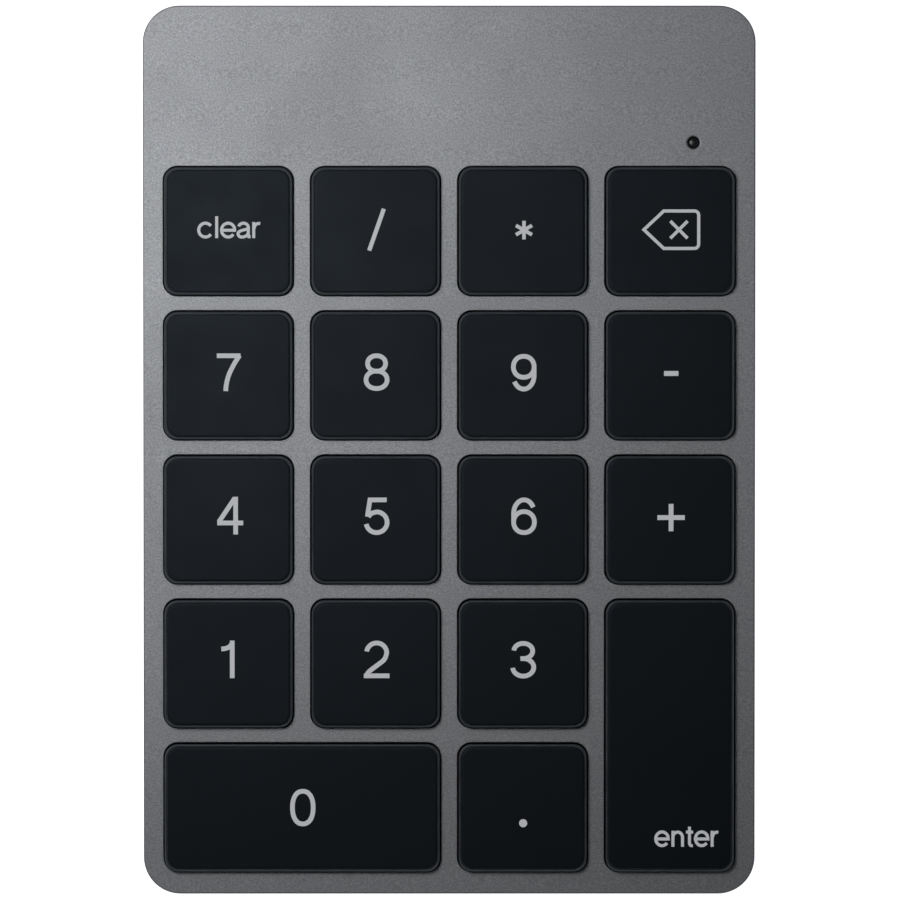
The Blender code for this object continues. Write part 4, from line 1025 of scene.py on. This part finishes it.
def build_bottom_cover():
    """The moulded cover, with a soft edge, its foot recesses, screw wells and the opening for the button."""
    low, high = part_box("bottom_cover")
    floor_top, rim_top = 1.9 * MM, 2.6 * MM
    half_x, half_y, radius = high.x, high.y, 3.35 * MM
    bm = bmesh.new()
    outer = []
    for inset, drop in reversed(round_edge(0.22 * MM, 4)):
        outer.append(ring(bm, lift(rounded(half_x - inset, half_y - inset, radius - inset, 16), low.z + drop)))
    outer.append(ring(bm, lift(rounded(half_x, half_y, radius, 16), rim_top)))
    inset = 1.0 * MM
    inner = rounded(half_x - inset, half_y - inset, radius - inset, 16)
    outer.append(ring(bm, lift(inner, rim_top)))
    outer.append(ring(bm, lift(inner, floor_top)))
    skin(bm, outer)
    bmesh.ops.recalc_face_normals(bm, faces=bm.faces[:])
    cover = new_object("underside_cover", finish_mesh(bm, "underside_cover"), COVER)

    def well(radius, base, top, at, edge):
        wall = base + edge
        profile = [(0, base - 2 * MM), (radius + edge, base - 2 * MM), (radius + edge, base), (radius, wall)]
        profile += [(radius, top), (0, top)]
        mesh = turned("well", profile, 56)
        mesh.transform(Matrix.Translation((at.x, at.y, 0)))
        cut(cover, new_object("well", mesh))

    soft = 0.12 * MM
    for name in named("foot_"):
        well(4.65 * MM, low.z, 1.3 * MM, middle(name), soft)
    for name in named("screw_"):
        well(1.7 * MM, low.z, floor_top - 0.01 * MM, middle(name), soft)
        well(0.95 * MM, low.z, 6 * MM, middle(name), 0)
    well(2.45 * MM, low.z, 6 * MM, middle("pairing_button"), soft)
    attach(cover, "case")
    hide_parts("bottom_cover")


def stand_in(name, node, mesh, mat, body):
    """A finer piece in the place of one round CAD node."""
    centre = middle(node)
    mesh.transform(Matrix.Translation((centre.x, centre.y, 0)))
    obj = new_object(name, mesh, mat)
    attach(obj, body)
    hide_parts(node)
    return obj


def build_feet():
    for node in named("foot_"):
        profile = [(0, 1.25), (4.5, 1.25), (4.5, 0.32), (4.44, 0.18), (4.32, 0.06), (4.15, 0.0)]
        profile += [(3.75, 0.0), (3.7, 0.05), (3.62, 0.05), (3.57, 0.0), (0, 0.0)]
        mesh = turned(node, [(r * MM, z * MM) for r, z in profile], 72, 30)
        stand_in(node.replace("foot_", "pad_"), node, mesh, RUBBER, "case")


def build_screws():
    for node in named("screw_"):
        profile = [(0, 5.0), (0.45, 5.0), (0.7, 4.7)]
        crest, root, z, neck, thread_pitch = 0.80, 0.68, 4.6, 2.2, 0.3
        while z > neck:
            profile += [(crest, z), (root, z - thread_pitch / 2)]
            z -= thread_pitch
        profile += [(0.8, 2.0), (0.8, 1.85), (1.45, 1.85), (1.45, 1.3)]
        profile += [(1.4, 1.14), (1.25, 1.04), (1.05, 1.0), (0, 1.0)]
        mesh = turned(node, [(r * MM, h * MM) for r, h in profile], 48, 30)
        screw = stand_in(node.replace("screw_", "fastener_"), node, mesh, STEEL, "case")
        for turn in (0.0, math.pi / 2):
            bm = bmesh.new()
            arm, slot = 0.86 * MM, 0.17 * MM
            block(bm, (-arm, -slot, 0.4 * MM), (arm, slot, 1.5 * MM), 0.05 * MM, 2)
            where = middle(node)
            spin = Matrix.Rotation(turn + 0.3 * where.x / MM, 4, "Z")
            cut(screw, cutter(bm, Matrix.Translation((where.x, where.y, 0)) @ spin))


def build_button():
    profile = [(0, 2.42), (3.0, 2.42), (3.0, 2.02), (2.2, 2.02), (2.2, 1.2)]
    profile += [(2.16, 1.08), (2.07, 0.99), (1.95, 0.95), (1.5, 0.97), (0.8, 1.03), (0, 1.06)]
    mesh = turned("pairing_cap", [(r * MM, z * MM) for r, z in profile], 64, 30)
    stand_in("pairing_cap", "pairing_button", mesh, BUTTON, "pairing_button")


# ---------------------------------------------------------------- rear wall and lamp


def build_port():
    """The charging socket: a drawn shell with a rolled mouth, a dark cavity and a tongue with contacts."""
    low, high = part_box("usb_c_socket")
    cx, cz = (low.x + high.x) / 2, (low.z + high.z) / 2
    half_x, half_z = (high.x - low.x) / 2, (high.z - low.z) / 2

    def loop(bm, inset, y):
        points = rounded(half_x - inset, half_z - inset, (half_z - inset) * 0.99, 12)
        return ring(bm, [Vector((cx + p.x, y, cz + p.y)) for p in points])

    bm = bmesh.new()
    thick = 0.3 * MM
    mouth = high.y
    rings = [loop(bm, 0.1 * MM, low.y), loop(bm, 0, low.y + 0.1 * MM), loop(bm, 0, mouth - 0.12 * MM)]
    rings += [loop(bm, 0.05 * MM, mouth - 0.03 * MM), loop(bm, 0.15 * MM, mouth)]
    rings += [loop(bm, 0.25 * MM, mouth - 0.03 * MM), loop(bm, thick, mouth - 0.12 * MM)]
    rings += [loop(bm, thick, low.y + 0.9 * MM)]
    skin(bm, rings)
    bmesh.ops.recalc_face_normals(bm, faces=bm.faces[:])
    shell = new_object("port_shell", finish_mesh(bm, "port_shell"), PORT)
    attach(shell, "case")
    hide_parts("usb_c_socket")

    bm = bmesh.new()
    wide, thin = 3.3 * MM, 0.33 * MM
    root, tip = low.y + 0.8 * MM, mouth - 0.9 * MM
    block(bm, (cx - wide, root, cz - thin), (cx + wide, tip, cz + thin), 0.12 * MM, 3, 0.08 * MM, 1)
    tongue = new_object("port_tongue", finish_mesh(bm, "port_tongue"), SWITCH_BODY)
    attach(tongue, "case")
    bm = bmesh.new()
    for i in range(12):
        x = cx + (i - 5.5) * 0.5 * MM
        for side in (-1, 1):
            z0, z1 = sorted((cz + side * 0.30 * MM, cz + side * 0.36 * MM))
            contact = (x - 0.13 * MM, mouth - 4.0 * MM, z0), (x + 0.13 * MM, mouth - 1.1 * MM, z1)
            block(bm, *contact, 0.03 * MM, 2, 0, 2)
    contacts = new_object("port_contacts", finish_mesh(bm, "port_contacts"), GOLD)
    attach(contacts, "case")


def build_switch():
    """The slider's knob, with its finger ridges and the stem that reaches into the switch."""
    low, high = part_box("power_switch_slider")
    cx, cz = (low.x + high.x) / 2, (low.z + high.z) / 2
    face = high.y
    bm = bmesh.new()
    shoulder = 55.95 * MM
    block(bm, (low.x, shoulder, low.z), (high.x, face - 0.15 * MM, high.z), 0.35 * MM, 6, 0.08 * MM, 1)
    half, deep, inset = 0.17 * MM, 0.4 * MM, 0.12 * MM
    for k in (-1.5, -0.5, 0.5, 1.5):
        x = cx + k * 0.58 * MM
        ridge = (x - half, face - deep, low.z + inset), (x + half, face, high.z - inset)
        block(bm, *ridge, 0.15 * MM, 4, 0.1 * MM, 1)
    half_x, half_z = 0.7 * MM, 0.6 * MM
    stem = (cx - half_x, low.y, cz - half_z), (cx + half_x, shoulder + 0.4 * MM, cz + half_z)
    block(bm, *stem, 0.1 * MM, 3, 0.05 * MM, 1)
    knob = new_object("slider_knob", finish_mesh(bm, "slider_knob"), SWITCH)
    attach(knob, "power_slider")
    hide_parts("power_switch_slider")


def build_lamp_lens():
    """The light pipe under the small hole: a collared rod with a domed top."""
    profile = [(0, -3.3), (0.9, -3.3), (1.25, -2.0), (1.25, -1.5), (1.2, -1.45), (0.7, -1.45), (0.7, -0.56)]
    for i in range(1, 9):
        angle = i / 8 * math.pi / 2
        profile.append((0.7 * math.cos(angle) if i < 8 else 0, -0.56 + 0.24 * math.sin(angle)))
    mesh = turned("lamp_lens", [(r * MM, w * MM) for r, w in profile], 48, 40)
    mesh.transform(DECK @ Matrix.Translation((LED_AT.x, LED_AT.y, 0)))
    obj = new_object("lamp_lens", mesh, LENS)
    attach(obj, "case")
    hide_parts("led_light_pipe")


# ---------------------------------------------------------------- carried-over CAD nodes


INNER_PARTS = {
    "support_plate": PLATE,
    "membrane_sheet": FILM,
    "main_board": LAMINATE,
    "bluetooth_module": SHIELD,
    "battery_cell": FOIL,
    "battery_lead": LEAD,
    "power_switch_body": SWITCH_BODY,
    "stabilizer_wire_0": WIRE,
    "stabilizer_wire_enter": WIRE,
}


def dress_inner_parts():
    for node, mat in INNER_PARTS.items():
        materials = nodes[node].data.materials
        materials.clear()
        materials.append(mat)

# ---------------------------------------------------------------- floor, lights and camera


def build_stage():
    """A white floor, a near key light over the rear left, a low fill from the front right, and a camera above."""
    mesh = bpy.data.meshes.new("floor")
    half, z = 1.2, -0.02 * MM  # a hair under the feet
    mesh.from_pydata([(-half, -half, z), (half, -half, z), (half, half, z), (-half, half, z)], [], [(0, 1, 2, 3)])
    floor = new_object("floor", mesh)
    mat = material("floor_white", Base_Color=(0.9, 0.9, 0.9, 1), Roughness=0.7)
    shade(mat).inputs["Emission Color"].default_value = (1, 1, 1, 1)
    shade(mat).inputs["Emission Strength"].default_value = 1.0
    cloud = noise(mat, 30, 2.0)
    vary_roughness(mat, cloud, 0.65, 0.75)
    mesh.materials.append(mat)

    def area(name, place, aim, size, power):
        light = bpy.data.lights.new(name, "AREA")
        light.shape = "SQUARE"
        light.size = size
        light.energy = power
        obj = bpy.data.objects.new(name, light)
        bpy.context.scene.collection.objects.link(obj)
        obj.location = place
        obj.rotation_mode = "QUATERNION"
        obj.rotation_quaternion = (Vector(place) - Vector(aim)).to_track_quat("Z", "Y")

    area("key_light", (-0.066, 0.042, 0.26), (-0.062, 0.038, 0), 0.09, 0.222)
    area("fill_light", (0.40, -0.45, 0.20), (0, 0, 0), 0.25, 0.09)
    world = bpy.data.worlds.new("studio")
    world.use_nodes = True
    backdrop = world.node_tree.nodes["Background"]
    where = world.node_tree.nodes.new("ShaderNodeTexCoord")
    parts = world.node_tree.nodes.new("ShaderNodeSeparateXYZ")
    sky = world.node_tree.nodes.new("ShaderNodeValToRGB")
    world.node_tree.links.new(where.outputs["Generated"], parts.inputs["Vector"])
    world.node_tree.links.new(parts.outputs["Z"], sky.inputs["Fac"])
    world.node_tree.links.new(sky.outputs["Color"], backdrop.inputs["Color"])
    for element, place, value in zip(sky.color_ramp.elements, (0.12, 0.5), (0.9, 0.03)):
        element.position = place
        element.color = (value * 0.97, value * 0.98, value, 1)
    backdrop.inputs["Strength"].default_value = 1.0
    bpy.context.scene.world = world
    bpy.context.scene.view_settings.view_transform = "Standard"

    distance = 1.0
    camera = bpy.data.objects.new("camera", bpy.data.cameras.new("camera"))
    bpy.context.scene.collection.objects.link(camera)
    camera.data.sensor_width = 36
    seen_across = 116.6 * MM
    camera.data.lens = 36 * distance / seen_across
    camera.location = (0.1 * MM, 0.06 * MM, DECK_HEIGHT + distance)
    camera.data.clip_start, camera.data.clip_end = 0.01, 10
    bpy.context.scene.camera = camera


build_top_case()
for key_name, key_cell in KEYS.items():
    build_keycap(key_name, key_cell)
    build_legend(key_name, key_cell)
    build_scissor(key_name, key_cell)
    build_dome(key_name, key_cell)
build_dome_sheet()
build_bottom_cover()
build_feet()
build_screws()
build_button()
build_port()
build_switch()
build_lamp_lens()
dress_inner_parts()
build_stage()
